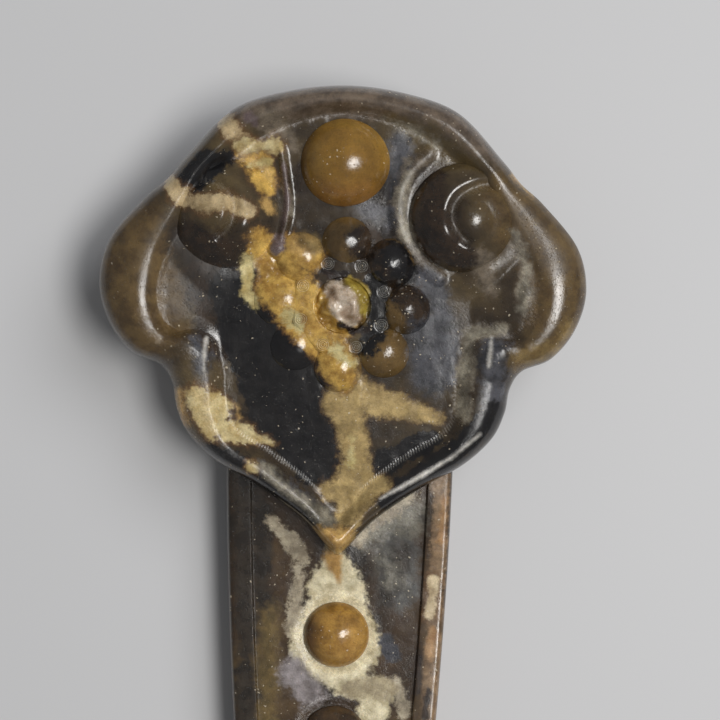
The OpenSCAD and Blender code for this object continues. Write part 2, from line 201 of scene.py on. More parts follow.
def spline(p, steps, closed=False):
    """Catmull-Rom curve through the rows of p, with steps points for each span."""
    p = np.asarray(p, float)
    n = len(p)
    spans = n if closed else n - 1
    pick = (lambda k: p[k % n]) if closed else (lambda k: p[min(max(k, 0), n - 1)])
    out = []
    for k in range(spans):
        p0, p1, p2, p3 = (pick(k + j) for j in (-1, 0, 1, 2))
        for j in range(steps):
            t = j / steps
            out.append(0.5 * (2 * p1 + (p2 - p0) * t + (2 * p0 - 5 * p1 + 4 * p2 - p3) * t * t
                              + (3 * p1 - p0 - 3 * p2 + p3) * t ** 3))
    if not closed:
        out.append(p[-1])
    return np.array(out)


cell_primes = np.array([73856093, 19349663, 83492791])


def rough(points, size, seed):
    """Smooth noise from -1 to 1 at points in mm, with lumps of about size mm."""
    cell = np.asarray(points, float) / size
    base = np.floor(cell).astype(np.int64)
    part = cell - base
    part = part * part * (3 - 2 * part)
    total = np.zeros(len(cell))
    for corner in itertools.product((0, 1), repeat=3):
        key = (base + corner) @ cell_primes + seed * 2654435
        key = ((key ^ (key >> 13)) * 1274126177) & 0x7FFFFFFF
        value = ((key ^ (key >> 15)) & 0xFFFF) / 32767.5 - 1
        total += value * np.prod(np.where(corner, part, 1 - part), axis=1)
    return total


def distance_to(points, x, y):
    """Distance in the plan from each point to one place."""
    return np.hypot(points[:, 0] - x, points[:, 1] - y)


def distance_to_path(points, path):
    """Distance in the plan from each point to a line of points."""
    points, path = np.asarray(points)[:, :2], np.asarray(path, float)
    best = np.full(len(points), 1e9)
    for a, b in zip(path[:-1], path[1:]):
        d = b - a
        t = np.clip((points - a) @ d / (d @ d), 0, 1)
        best = np.minimum(best, np.linalg.norm(points - a - t[:, None] * d, axis=1))
    return best


def hump(distance, half_width):
    """1 at distance 0, falling smoothly to 0 at half_width."""
    return np.clip(1 - (np.asarray(distance) / half_width) ** 2, 0, 1) ** 1.5


def oval(x, y, half_x, half_y):
    """The same hump over an oval. x and y are measured from its middle."""
    return hump(np.hypot(x / half_x, y / half_y), 1)


def step(value, low, high):
    """0 below low, 1 above high and smooth between."""
    t = np.clip((np.asarray(value, float) - low) / (np.asarray(high) - low), 0, 1)
    return t * t * (3 - 2 * t)


def placed(points, tip_y, back_z, tilt, turn=0):
    """Moves points from a plate's own frame to the model's."""
    turned = Matrix.Rotation(math.radians(tilt), 3, "X") @ Matrix.Rotation(math.radians(turn), 3, "Z")
    return np.asarray(points) @ np.array(turned).T + np.array([0, tip_y, back_z])


def on_head(points):
    return placed(points, head_tip_y, neck_t - let_in, head_tilt)


def on_tail(points):
    return placed(points, tail_tip_y, tail_t - let_in, -tail_tilt, 180)


# %% [markdown]
# Jade of this kind is dark olive brown, with black clouds and veins of cream and amber that run through the
# whole stone. They could be painted piece by piece, but then a vein would stop at every joint. So the
# colours are placed in space: every piece reads the same veins, and a vein crosses from one piece to the
# next. Each vein is a chain of round-ended strokes, and noise in the material makes its edges ragged. Some
# layers are painted light as well: painted highlights along the rolled crests and bulbs, painted sheen on the
# field, and painted shade below the scrolls and on the left of the first boss.

# %% Places read off the photograph
picture_mm_per_px = {"head": photo_mm_per_px, "shaft": 0.2035}
far_outside = -12.0


def plan(px, py, level="head"):
    """Point of the model in mm at a pixel of the 720 x 720 picture, at the height of the head or the shaft."""
    scale = picture_mm_per_px[level]
    dx, dy = (px - photo_px / 2) * scale, (photo_px / 2 - py) * scale
    a = camera_roll
    return (camera_aim[0] + dx * cos(a) - dy * sin(a), camera_aim[1] + dy * cos(a) + dx * sin(a))


def srgb(r, g, b):
    """Linear colour from 0 to 255 screen values."""
    def one(v):
        v /= 255
        return v / 12.92 if v <= 0.04045 else ((v + 0.055) / 1.055) ** 2.4
    return (one(r), one(g), one(b), 1)


SOOT = srgb(46, 40, 37)
STRAW = srgb(196, 168, 104)
RUST = (98, 70, 42)

# Each layer, from the lowest to the highest: name, two tones, softness of its edge in mm, raggedness in mm,
# tone of the fringe round it or None, and chains of strokes as (x, y, radius) in pixels
head_veins = [
    ("rim_grey", (76, 65, 55), (112, 98, 84), 1.6, 2.0, None, [
        [(250, 112, 16), (340, 100, 18), (440, 112, 18), (500, 160, 14)]]),
    ("olive", (72, 56, 34), (98, 79, 48), 2.4, 3.0, None, [
        [(130, 230, 36), (150, 320, 40)], [(556, 225, 36), (560, 320, 36)], [(505, 200, 24), (530, 215, 20)],
        [(500, 225, 14), (504, 240, 10)], [(540, 350, 16), (556, 345, 14)]]),
    # Slate grey and painted sheen: slate-grey stone on the lower bulbs, painted sheen on the field right of the pearl
    # and under it, and a painted highlight along the lower left roll
    ("slate", (46, 46, 49), (84, 84, 89), 1.5, 2.4, None, [
        [(425, 290, 22), (435, 370, 26)], [(400, 150, 11), (394, 200, 9)], [(366, 212, 8), (392, 216, 11)],
        [(490, 345, 15), (492, 395, 12)], [(205, 345, 14), (204, 365, 10)],
        [(262, 466, 5), (296, 496, 9), (332, 522, 9)]]),
    ("haze", (84, 74, 62), (120, 108, 92), 1.2, 2.0, None, [
        [(482, 262, 8), (490, 290, 8)], [(512, 236, 5), (524, 270, 7), (522, 305, 7)],
        [(272, 125, 12), (288, 150, 10)],
        [(406, 166, 5), (400, 210, 6), (402, 238, 6), (420, 258, 4)],
        [(500, 328, 5), (468, 338, 6), (463, 372, 7), (462, 415, 5)],
        [(437, 155, 4), (412, 172, 4)]]),
    # Umber and painted shade: the first two chains are painted shade on the lower side of both scrolls and the left
    # side of the right one; the other chains are dark umber stone
    ("umber", (32, 25, 20), (56, 42, 29), 1.2, 2.4, None, [
        [(428, 180, 14), (434, 245, 18), (465, 258, 10)], [(190, 238, 16), (228, 250, 16)],
        [(215, 275, 26), (225, 335, 24)], [(362, 242, 18), (414, 305, 16)], [(300, 166, 5), (300, 190, 5)]]),
    ("black", (13, 12, 14), (27, 25, 25), 0.6, 2.0, None, [
        [(228, 290, 18), (250, 330, 32), (290, 395, 46), (318, 448, 36)], [(300, 345, 20), (322, 378, 16)],
        [(372, 474, 8), (388, 460, 14), (430, 440, 11)], [(207, 450, 7), (246, 460, 7)],
        [(490, 412, 12), (470, 440, 13), (430, 470, 13), (388, 500, 11)],
        [(252, 480, 9), (300, 510, 10), (326, 526, 7)],
        [(195, 186, 15), (210, 170, 15), (232, 160, 10)], [(394, 258, 16), (402, 272, 12)],
        [(372, 285, 11), (378, 322, 11), (366, 350, 10)]]),
    ("tan", (148, 127, 92), (198, 176, 136), 0.5, 1.6, RUST, [
        [(226, 118, 6), (235, 138, 7), (250, 148, 6)],
        [(170, 180, 5), (180, 197, 7), (203, 209, 8), (232, 206, 9), (250, 214, 7)]]),
    ("cream", (168, 146, 96), (206, 190, 144), 0.6, 1.8, RUST, [
        [(246, 152, 7), (276, 150, 8)], [(200, 398, 13), (212, 410, 17), (216, 428, 10)],
        [(226, 430, 10), (252, 436, 8), (276, 443, 3)], [(251, 464, 3), (255, 468, 2)]]),
    ("vein", (144, 122, 78), (192, 166, 112), 0.9, 1.6, (84, 62, 38), [
        [(352, 380, 12), (345, 403, 20), (352, 430, 14)], [(352, 396, 16), (395, 405, 13), (440, 421, 4)],
        [(352, 430, 14), (356, 460, 13), (356, 484, 20)], [(330, 492, 9), (356, 490, 19), (378, 484, 8)],
        [(352, 500, 15), (347, 516, 11)]]),
    ("gold", (148, 111, 50), (208, 170, 88), 0.9, 2.0, RUST, [
        [(262, 172, 12), (270, 188, 9)], [(246, 162, 8), (262, 166, 12)],
        [(262, 240, 10), (272, 262, 18), (285, 285, 26), (305, 310, 27), (325, 338, 20), (338, 362, 16),
        (345, 380, 11)],
        [(290, 248, 12), (312, 262, 12)], [(330, 300, 10), (345, 325, 12)]]),
    ("straw", (172, 152, 96), (204, 190, 138), 0.7, 1.6, None, [
        [(249, 262, 5), (247, 290, 6), (258, 308, 4)], [(288, 316, 5), (300, 328, 6)], [(335, 350, 5), (350, 364, 6)],
        [(268, 165, 5), (250, 170, 4)], [(352, 437, 3), (351, 465, 3)]]),
    ("amber", (150, 116, 64), (206, 170, 104), 0.9, 1.2, None, [
        [(268, 206, 5), (273, 212, 4)], [(300, 246, 10), (310, 250, 8)], [(180, 392, 4), (184, 420, 5)],
        [(237, 405, 2), (240, 418, 2)], [(515, 180, 4), (530, 196, 3)], [(320, 536, 10), (343, 537, 11)],
        [(333, 548, 9), (336, 560, 5)]]),
    ("pale", (150, 126, 102), (214, 198, 178), 0.6, 1.2, None, [[(335, 291, 11), (345, 303, 17), (349, 316, 12)]]),
    ("moss", (138, 114, 48), (174, 154, 66), 0.5, 0.9, None, [[(350, 281, 4), (363, 292, 6), (364, 312, 5)]]),
    ("crack", (26, 19, 15), (42, 30, 24), 0.35, 1.0, None, [
        [(322, 272, 3), (338, 278, 5), (348, 274, 3)], [(340, 325, 3), (352, 331, 4), (366, 329, 5)]]),
    # Frost and painted highlight: pale frosted bands on the tendrils, the valley and the rim's foot, and a painted
    # highlight along the crest of the lower left roll
    ("bloom", (92, 86, 74), (150, 143, 126), 1.0, 1.6, None, [
        [(408, 168, 4), (400, 200, 5), (402, 232, 5), (414, 252, 3)],
        [(502, 328, 4), (470, 336, 5), (463, 372, 6), (462, 415, 5)],
        [(512, 236, 3), (524, 270, 5), (519, 310, 4)], [(262, 466, 3), (296, 496, 6), (332, 521, 6)],
        [(385, 121, 2), (412, 134, 3), (436, 152, 4)], [(286, 190, 3), (289, 214, 3)]]),
    ("honey", (100, 80, 46), (140, 118, 74), 1.6, 1.6, None, [
        [(516, 362, 7), (552, 350, 10), (572, 326, 6)], [(304, 243, 5), (314, 247, 8)]]),
    # Painted highlight: light lines along the crest of the lower right roll and soft streaks on the two bulbs
    ("worn", (180, 176, 168), (228, 224, 216), 0.6, 0.4, None, [
        [(479, 434, 0.4), (452, 456, 1.3), (420, 476, 1.3), (380, 498, 0.1)],
        [(490, 338, 1), (489, 350, 2), (487, 366, 0.5)], [(208, 338, 0.8), (206, 352, 1.6), (206, 370, 0.5)]]),
    ("spot", (84, 70, 68), (104, 90, 88), 0.5, 0.8, None, [
        [(285, 168, 2), (288, 205, 3), (283, 230, 3)],
        [(251, 122, 5), (257, 127, 4)], [(281, 240, 6), (279, 248, 8)]]),
]
shaft_veins = [
    ("olive", (84, 70, 42), (114, 94, 54), 1.5, 2.4, None, [[(268, 610, 10), (266, 720, 12)]]),
    ("slate", (60, 60, 60), (92, 90, 86), 1.5, 2.4, None, [
        [(395, 520, 20), (400, 590, 18)]]),
    ("umber", (34, 28, 22), (54, 46, 37), 1.4, 2.4, None, [
        [(402, 556, 12), (385, 600, 9)], [(262, 500, 10), (262, 600, 8)], [(245, 470, 11), (247, 740, 11)]]),
    ("bloom", (66, 63, 56), (128, 123, 109), 2.4, 3.0, None, [
        [(364, 548, 3), (378, 530, 12), (398, 516, 20), (408, 512, 18)], [(384, 560, 8), (398, 580, 10)]]),
    ("rim_grey", (100, 80, 60), (150, 124, 94), 0.8, 1.6, None, [[(441, 480, 9), (429, 740, 9)]]),
    ("haze", (132, 120, 100), (184, 172, 148), 0.7, 2.0, None, [
        [(272, 519, 5), (290, 539, 7), (304, 557, 7)], [(298, 570, 7), (294, 628, 7)],
        [(356, 542, 4), (385, 512, 8), (410, 496, 5)], [(396, 680, 5), (404, 712, 5)]]),
    ("cream", (176, 163, 128), (226, 215, 182), 0.8, 2.0, None, [
        [(332, 548, 6), (337, 566, 15), (338, 590, 27), (337, 610, 32)], [(334, 640, 42), (336, 642, 43)],
        [(345, 680, 14), (380, 695, 15), (372, 715, 16)]]),
    ("tan", (146, 132, 104), (188, 174, 142), 0.8, 1.8, None, [[(352, 690, 9), (385, 688, 12)]]),
    ("gold", (150, 112, 56), (190, 150, 84), 0.8, 1.0, None, [[(332, 556, 8), (336, 570, 6), (339, 582, 2)]]),
    ("pale", (108, 100, 98), (158, 150, 150), 1.4, 2.4, None, [[(292, 672, 12), (308, 690, 14)]]),
    ("black", (54, 54, 58), (74, 74, 80), 0.5, 1.2, None, [[(386, 640, 7), (392, 655, 8)]]),
    ("straw", (176, 154, 118), (222, 204, 168), 0.5, 1.0, RUST, [[(433, 580, 5), (430, 614, 6)]]),
    ("amber", (146, 106, 64), (196, 156, 110), 0.8, 1.0, None, [[(434, 630, 4), (431, 654, 5)],
        [(444, 500, 3), (441, 540, 3)]]),
    ("crack", (44, 34, 28), (60, 48, 38), 0.4, 1.0, None, [[(420, 640, 2), (416, 690, 4)],
        [(428, 690, 3), (424, 716, 4)]]),
]
boss_veins = [
    ("gold", (134, 96, 42), (180, 138, 66), 2.6, 1.5, None, [[(337, 639, 40), (338, 640, 40)]]),
    # On the first boss: painted shade in the dark strokes on its left, painted light in the pale strokes on its right
    ("amber", (84, 58, 30), (108, 76, 38), 2.6, 1.2, None, [[(306, 622, 12), (304, 650, 12), (318, 668, 8)]]),
    ("cream", (152, 112, 54), (188, 148, 80), 3.0, 1.6, None, [[(352, 634, 8), (350, 652, 9), (338, 662, 5)]]),
    ("umber", (52, 40, 28), (84, 64, 42), 1.0, 1.5, None, [[(334, 742, 44), (335, 744, 44)]]),
]
pearl_veins = [
    ("olive", (94, 68, 29), (108, 80, 36), 2.4, 0.6, None, [[(300, 140, 14), (298, 175, 12)]]),
    ("amber", (138, 96, 42), (150, 108, 50), 3.0, 0.8, None, [[(328, 204, 14), (366, 202, 13)]]),
]
layer_names = [layer[0] for layer in head_veins]


def vein_depths(points, veins, level):
    """For each layer, how deep in mm each point lies inside its strokes. Outside it is negative."""
    plan_points = np.asarray(points)[:, :2]
    scale = picture_mm_per_px[level]
    depths = {name: np.full(len(plan_points), far_outside) for name in layer_names}
    for name, *_, chains in veins:
        for chain in chains:
            for (ax, ay, ar), (bx, by, br) in zip(chain[:-1], chain[1:]):
                a, b = np.array(plan(ax, ay, level)), np.array(plan(bx, by, level))
                t = np.clip((plan_points - a) @ (b - a) / ((b - a) @ (b - a)), 0, 1)
                gap = np.linalg.norm(plan_points - a - t[:, None] * (b - a), axis=1)
                depths[name] = np.maximum(depths[name], (ar + (br - ar) * t) * scale - gap)
    return depths


# %% [markdown]
# Small helpers keep the materials and trees short: each makes one node, links or sets its inputs and gives
# back its output. Outputs are wrapped, so that a sum of nodes can be written as a sum.

# %% Node helpers
class Output:
    """An output of a node. A sign between it and another makes a Math node, and [name] gives its sister output."""

    def __init__(self, socket):
        self.socket, self.tree = socket, socket.id_data

    def __getitem__(self, key):
        return Output(self.socket.node.outputs[key])

    def __add__(self, other):
        return math_node(self.tree, "ADD", self, other)

    def __sub__(self, other):
        return math_node(self.tree, "SUBTRACT", self, other)

    def __rsub__(self, other):
        return math_node(self.tree, "SUBTRACT", other, self)

    def __mul__(self, other):
        return math_node(self.tree, "MULTIPLY", self, other)

    def __truediv__(self, other):
        return math_node(self.tree, "DIVIDE", self, other)

    def __pow__(self, other):
        return math_node(self.tree, "POWER", self, other)

    def times_plus(self, factor, term):
        """Factor times this plus term, in one node."""
        return math_node(self.tree, "MULTIPLY_ADD", self, factor, term)


def node(tree, kind, **settings):
    """The first output of a new node. Settings are properties, or inputs given as in_NAME or in_INDEX."""
    made = tree.nodes.new(kind)
    for key, value in settings.items():
        if not key.startswith("in_"):
            setattr(made, key, value)
    for key, value in settings.items():
        if key.startswith("in_"):
            spot = key[3:]
            target = made.inputs[int(spot) if spot.isdigit() else spot.replace("_", " ")]
            if isinstance(value, Output):
                tree.links.new(value.socket, target)
            else:
                target.default_value = value
    return Output(made.outputs[0]) if made.outputs else None


def math_node(tree, operation, a, b=0.0, c=0.0, clamp=False):
    """Output of a Math node on outputs or numbers."""
    return node(tree, "ShaderNodeMath", operation=operation, use_clamp=clamp, in_0=a, in_1=b, in_2=c)


def vector_node(tree, operation, a, b):
    """Output of a Vector Math node on outputs or vectors."""
    return node(tree, "ShaderNodeVectorMath", operation=operation, in_0=a, in_1=b)


def scaled(tree, vector, factor):
    """A vector times a number."""
    return node(tree, "ShaderNodeVectorMath", operation="SCALE", in_0=vector, in_Scale=factor)


def split(tree, vector):
    """The x, y and z of a vector."""
    return tuple(node(tree, "ShaderNodeSeparateXYZ", in_0=vector))


def xyz(tree, x=0.0, y=0.0, z=0.0):
    """Three values as one vector."""
    return node(tree, "ShaderNodeCombineXYZ", in_0=x, in_1=y, in_2=z)


def mix_colour(tree, factor, a, b, blend="MIX"):
    """Output of a colour Mix node."""
    return node(tree, "ShaderNodeMix", data_type="RGBA", blend_type=blend, in_0=factor, in_6=a, in_7=b)[2]


def remap(tree, value, low, high, to_low=0.0, to_high=1.0, kind="SMOOTHSTEP"):
    """Output of a Map Range node, eased at both ends."""
    return node(tree, "ShaderNodeMapRange", interpolation_type=kind, in_0=value, in_1=low, in_2=high,
                in_3=to_low, in_4=to_high)


def straight(tree, *numbers):
    """The same without the ease."""
    return remap(tree, *numbers, kind="LINEAR")


def noise(tree, vector, scale, detail=3.0, roughness=0.5, output=0):
    """Output of a Noise Texture: 0 is the value and 1 the colour."""
    return node(tree, "ShaderNodeTexNoise", in_Vector=vector, in_Scale=scale, in_Detail=detail,
                in_Roughness=roughness)[output]


def new_material(name):
    """An empty material and its tree."""
    material = bpy.data.materials.new(name)
    material.use_nodes = True
    material.node_tree.nodes.clear()
    return material, material.node_tree


def shade(tree, **inputs):
    """The last nodes of a material: its shader, with these inputs, and the output."""
    node(tree, "ShaderNodeOutputMaterial", in_Surface=node(tree, "ShaderNodeBsdfPrincipled", **inputs))


# %% [markdown]
# What repeats, and what follows a rule, is grown with Geometry Nodes: a tree holds the rule, and named
# inputs hold its sizes, so that one number changes a whole row of stones. The tree works in millimetres
# like the rest of this script. Its result is taken as a plain mesh, because an export can't carry a tree.

# %% Helpers for Geometry Nodes
def new_tree(name, sizes):
    """A Geometry Nodes tree with a named input for each of the sizes, and the outputs of its input node."""
    tree = bpy.data.node_groups.new(name, "GeometryNodeTree")
    for way in ("INPUT", "OUTPUT"):
        tree.interface.new_socket("Geometry", in_out=way, socket_type="NodeSocketGeometry")
    for label, value in sizes.items():
        kinds = {int: "Int", float: "Float", bpy.types.Material: "Material", bpy.types.Object: "Object"}
        tree.interface.new_socket(label, in_out="INPUT", socket_type="NodeSocket" + kinds[type(value)])
    return tree, node(tree, "NodeGroupInput")


def end_tree(tree, geometry, material):
    """The last nodes of a tree: instances become real mesh, and the mesh gets its stone."""
    real = node(tree, "GeometryNodeRealizeInstances", in_Geometry=geometry)
    node(tree, "NodeGroupOutput", in_0=node(tree, "GeometryNodeSetMaterial", in_Geometry=real, in_Material=material))
    print(tree.name, len(tree.nodes), "nodes")
    return tree


def grown(tree, sizes, base=None):
    """The plain mesh that a tree grows with these sizes, on the mesh base or on nothing."""
    host = show("host", base or bpy.data.meshes.new("nothing"))
    modifier = host.modifiers.new("grow", "NODES")
    modifier.node_group = tree
    for socket in tree.interface.items_tree:
        if socket.in_out == "INPUT" and socket.name in sizes:
            modifier[socket.identifier] = sizes[socket.name]
    mesh = bpy.data.meshes.new_from_object(host.evaluated_get(bpy.context.evaluated_depsgraph_get()))
    host.modifiers.remove(modifier)
    bpy.data.objects.remove(host)
    return mesh


def read_mesh(mesh, *names):
    """The points of a mesh and its named attributes as arrays."""
    flat = np.empty(3 * len(mesh.vertices), dtype=np.float32)
    mesh.vertices.foreach_get("co", flat)
    found = [flat.reshape(-1, 3).astype(float)]
    for name in names:
        values = np.empty(len(mesh.vertices), dtype=np.float32)
        mesh.attributes[name].data.foreach_get("value", values)
        found.append(values.astype(float))
    return found


def keep(tree, geometry, name, value):
    """Stores a field on the points under a name."""
    return node(tree, "GeometryNodeStoreNamedAttribute", data_type="FLOAT", domain="POINT", in_Geometry=geometry,
                in_Name=name, in_Value=value)


def kept(tree, name):
    """The field that was stored under a name."""
    return node(tree, "GeometryNodeInputNamedAttribute", data_type="FLOAT", in_Name=name)


def position_parts(tree):
    """The x, y and z of each point."""
    return split(tree, node(tree, "GeometryNodeInputPosition"))


def chance(tree, low, high, seed):
    """A random number for each instance, always the same for the same seed."""
    return node(tree, "FunctionNodeRandomValue", data_type="FLOAT", in_2=low, in_3=high, in_8=seed)[1]


def turn_about_z(tree, angle):
    """A turn about the upright axis."""
    return node(tree, "FunctionNodeEulerToRotation", in_0=xyz(tree, z=angle))


def ring_of_points(tree, count, size, height=0.0):
    """Points on a circle of the tree's Ring Radius and Turn."""
    ring = node(tree, "GeometryNodeMeshCircle", fill_type="NONE", in_Vertices=count, in_Radius=size["Ring Radius"])
    return node(tree, "GeometryNodeTransform", in_Geometry=ring, in_Rotation=turn_about_z(tree, size["Turn"]),
                in_Translation=xyz(tree, z=height))


def join(tree, *geometries):
    """Several geometries as one."""
    made = tree.nodes.new("GeometryNodeJoinGeometry")
    for geometry in geometries:
        tree.links.new(geometry.socket, made.inputs[0])
    return Output(made.outputs[0])


# %% [markdown]
# The stone was cut with a wheel and then polished where the polisher could reach. Rolls and domes are
# glossy, and the field, the moats and the grooves stay frosted: lighter, greyer and rougher, with fine
# scratches. A picture of stone could be wrapped on the mesh, but it would show seams and blur when seen
# closely. So the material is made of noise in the object's own space, and the meshes carry how frosted each
# place is as an attribute called frost, the beat of the wheel along an edge as one called chatter, and
# where the polish is duller as one called matte.

# %% The stone
glossy, frosted_rough, matte_rough = 0.165, 0.36, 0.3
hair_lean, wheel_pitch, near_beat_crest = -0.8, 0.6, 0.1625
picture_end_y, picture_fade = 38.0, 6.0
dust_tone, chatter_tone = srgb(206, 192, 166), srgb(176, 172, 160)


def attribute(tree, name):
    """The number that each point of a mesh carries under a name."""
    return node(tree, "ShaderNodeAttribute", attribute_name=name)["Fac"]


def jade(name, base, veins):
    """Polished mottled jade. base is three colours from dark to light."""
    material, tree = new_material(name)
    mm = scaled(tree, node(tree, "ShaderNodeTexCoord")["Object"], 1 / MM)
    wide = split(tree, noise(tree, mm, 0.16, 2.0, output=1))
    fine = split(tree, noise(tree, mm, 0.75, 4.0, 0.65, output=1))
    colour = node(tree, "ShaderNodeValToRGB", in_0=noise(tree, mm, 0.055, 5.0, 0.6))
    dark_end, light_end = colour.socket.node.color_ramp.elements
    dark_end.position, dark_end.color = 0.34, srgb(*base[0])
    light_end.position, light_end.color = 0.68, srgb(*base[2])
    colour.socket.node.color_ramp.elements.new(0.5).color = srgb(*base[1])

    marble = split(tree, noise(tree, mm, 0.3, 5.0, 0.65, output=1))
    for k, (layer, low_tone, high_tone, edge, ragged, fringe, _) in enumerate(veins):
        depth = attribute(tree, "vein_" + layer)
        depth = (wide[k % 3] + fine[(k + 1) % 3] - 1.0).times_plus(2 * ragged, depth)
        if fringe:
            colour = mix_colour(tree, remap(tree, depth, -1.5, 0.0, 0.0, 0.75), colour, srgb(*fringe))
        tone = mix_colour(tree, remap(tree, marble[k % 3], 0.33, 0.67), srgb(*low_tone), srgb(*high_tone))
        colour = mix_colour(tree, remap(tree, depth, -edge, edge), colour, tone)

    # Past the photograph's lower edge the stone goes on with veins of its own
    beyond = remap(tree, split(tree, mm)[1], picture_end_y, picture_end_y - picture_fade)
    pale = remap(tree, noise(tree, mm, 0.042, 4.0, 0.6), 0.56, 0.6)
    dark = remap(tree, noise(tree, vector_node(tree, "ADD", mm, (90, 40, 0)), 0.05, 4.0, 0.6), 0.56, 0.61)
    colour = mix_colour(tree, dark * beyond, colour, SOOT)
    colour = mix_colour(tree, pale * beyond, colour, STRAW)

    # Grain: a slow change of value and fine speckle
    slow = straight(tree, noise(tree, mm, 0.35, 4.0, 0.6), 0.3, 0.7, 0.8, 1.18)
    colour = mix_colour(tree, 1.0, colour, slow, "MULTIPLY")
    speckle = noise(tree, mm, 3.0, 3.0, 0.7)
    colour = mix_colour(tree, 0.8, colour, straight(tree, speckle, 0.25, 0.75, 0.74, 1.26), "MULTIPLY")

    # Frost: lighter and greyer, in patches and with fine hairs
    frost = attribute(tree, "frost")
    patchy = straight(tree, noise(tree, mm, 1.7, 4.0, 0.7), 0.35, 0.65, 0.35, 1.0)
    frosted = math_node(tree, "MULTIPLY", frost, patchy, clamp=True)
    leaning = node(tree, "ShaderNodeVectorRotate", rotation_type="Z_AXIS", in_Vector=mm, in_Angle=hair_lean)
    stretched = node(tree, "ShaderNodeMapping", in_Vector=leaning, in_Scale=(3.2, 0.45, 1.0))
    hair = noise(tree, stretched, 1.6, 3.0, 0.7)
    frosted = frosted * straight(tree, hair, 0.36, 0.62, 0.55, 1.1)
    haze = mix_colour(tree, 1.0, colour, (1.45, 1.43, 1.4, 1), "MULTIPLY")
    haze = mix_colour(tree, 1.0, haze, (0.008, 0.008, 0.008, 1), "ADD")
    colour = mix_colour(tree, frosted, colour, haze)

    # Dust and tiny bruises: a pale dot in some of the cells of a Voronoi texture
    torn = scaled(tree, noise(tree, mm, 1.6, 2.0, output=1), 0.7)
    cells = node(tree, "ShaderNodeTexVoronoi", in_Vector=vector_node(tree, "ADD", mm, torn), in_Scale=1.5)
    pick = node(tree, "ShaderNodeSeparateColor", in_0=cells["Color"])
    dusty = remap(tree, noise(tree, mm, 0.12, 3.0), 0.4, 0.66, 0.06, 0.5)
    chosen = math_node(tree, "LESS_THAN", pick, dusty)
    dot_size = (pick[1] ** 3.0).times_plus(0.24, 0.05)
    dot = remap(tree, cells["Distance"] / dot_size, 1.3, 0.7) * chosen
    colour = mix_colour(tree, dot * 0.75, colour, dust_tone)

    # Chatter: short pale strokes across the foot of the rim
    beat = math_node(tree, "SINE", attribute(tree, "along") * (2 * math.pi / wheel_pitch))
    cut = attribute(tree, "chatter")
    stroke = remap(tree, beat, 0.1, 0.9) * (cut * patchy)
    colour = mix_colour(tree, stroke * 0.35, colour, chatter_tone)

    polish = straight(tree, frosted, 0.0, 1.0, glossy, frosted_rough)
    smear = straight(tree, noise(tree, mm, 0.6, 3.0), 0.3, 0.7, -0.02, 0.05)
    roughness = math_node(tree, "ADD", polish + smear, dot * 0.3, clamp=True)
    roughness = attribute(tree, "matte").times_plus(matte_rough, roughness)

    # Relief: waves left by hand polishing, pits, scratches in the frosted places and the wheel's chatter
    waves = noise(tree, mm, 0.35, 2.0)
    pits = remap(tree, speckle, 0.40, 0.28, 0.0, -1.0)
    scratches = hair * frosted
    height = waves.times_plus(0.10, pits * 0.08)
    for marks, deep in ((scratches, 0.12), (speckle, 0.035), (dot, 0.08)):
        height = marks.times_plus(deep, height)
    height = (beat * cut).times_plus(0.05, height)
    bump = node(tree, "ShaderNodeBump", in_Strength=1.0, in_Distance=0.6 * MM, in_Height=height)

    shade(tree, in_Base_Color=colour, in_Roughness=roughness, in_Normal=bump, in_Coat_Normal=bump, in_Coat_Weight=0.2,
          in_Coat_Roughness=0.09, in_IOR=1.62, in_Specular_IOR_Level=0.54, in_Subsurface_Weight=0.18,
          in_Subsurface_Radius=(1.0, 0.7, 0.4), in_Subsurface_Scale=1.6 * MM)
    print(name, len(tree.nodes), "nodes")
    return material


stone_dark = jade("stone_dark", ((34, 27, 21), (58, 47, 33), (88, 74, 48)), head_veins)
stone_shaft = jade("stone_shaft", ((34, 26, 18), (62, 46, 30), (98, 78, 48)), shaft_veins)
stone_olive = jade("stone_olive", ((72, 56, 31), (100, 78, 43), (118, 94, 55)), head_veins)
stone_pearl = jade("stone_pearl", ((108, 78, 30), (134, 100, 41), (150, 118, 56)), pearl_veins)
stone_amber = jade("stone_amber", ((70, 52, 32), (108, 78, 40), (142, 104, 52)), boss_veins)
dark_finish = (stone_dark, head_veins, "head")
olive_finish = (stone_olive, head_veins, "head")
pearl_finish = (stone_pearl, pearl_veins, "head")
amber_finish = (stone_amber, boss_veins, "shaft")
shaft_finish = (stone_shaft, shaft_veins, "shaft")

# %% [markdown]
# The head and the tail are the same kind of plate: a cloud outline with a rolled rim round a sunken
# field. A mesh of rings fits this shape. The rings climb the edge, roll over the rim, cross the field
# and close in one point, or in the rim of a hole. What the outline can't tell, such as the tendrils
# and the moats round the stones, is then pressed into the field as a height.

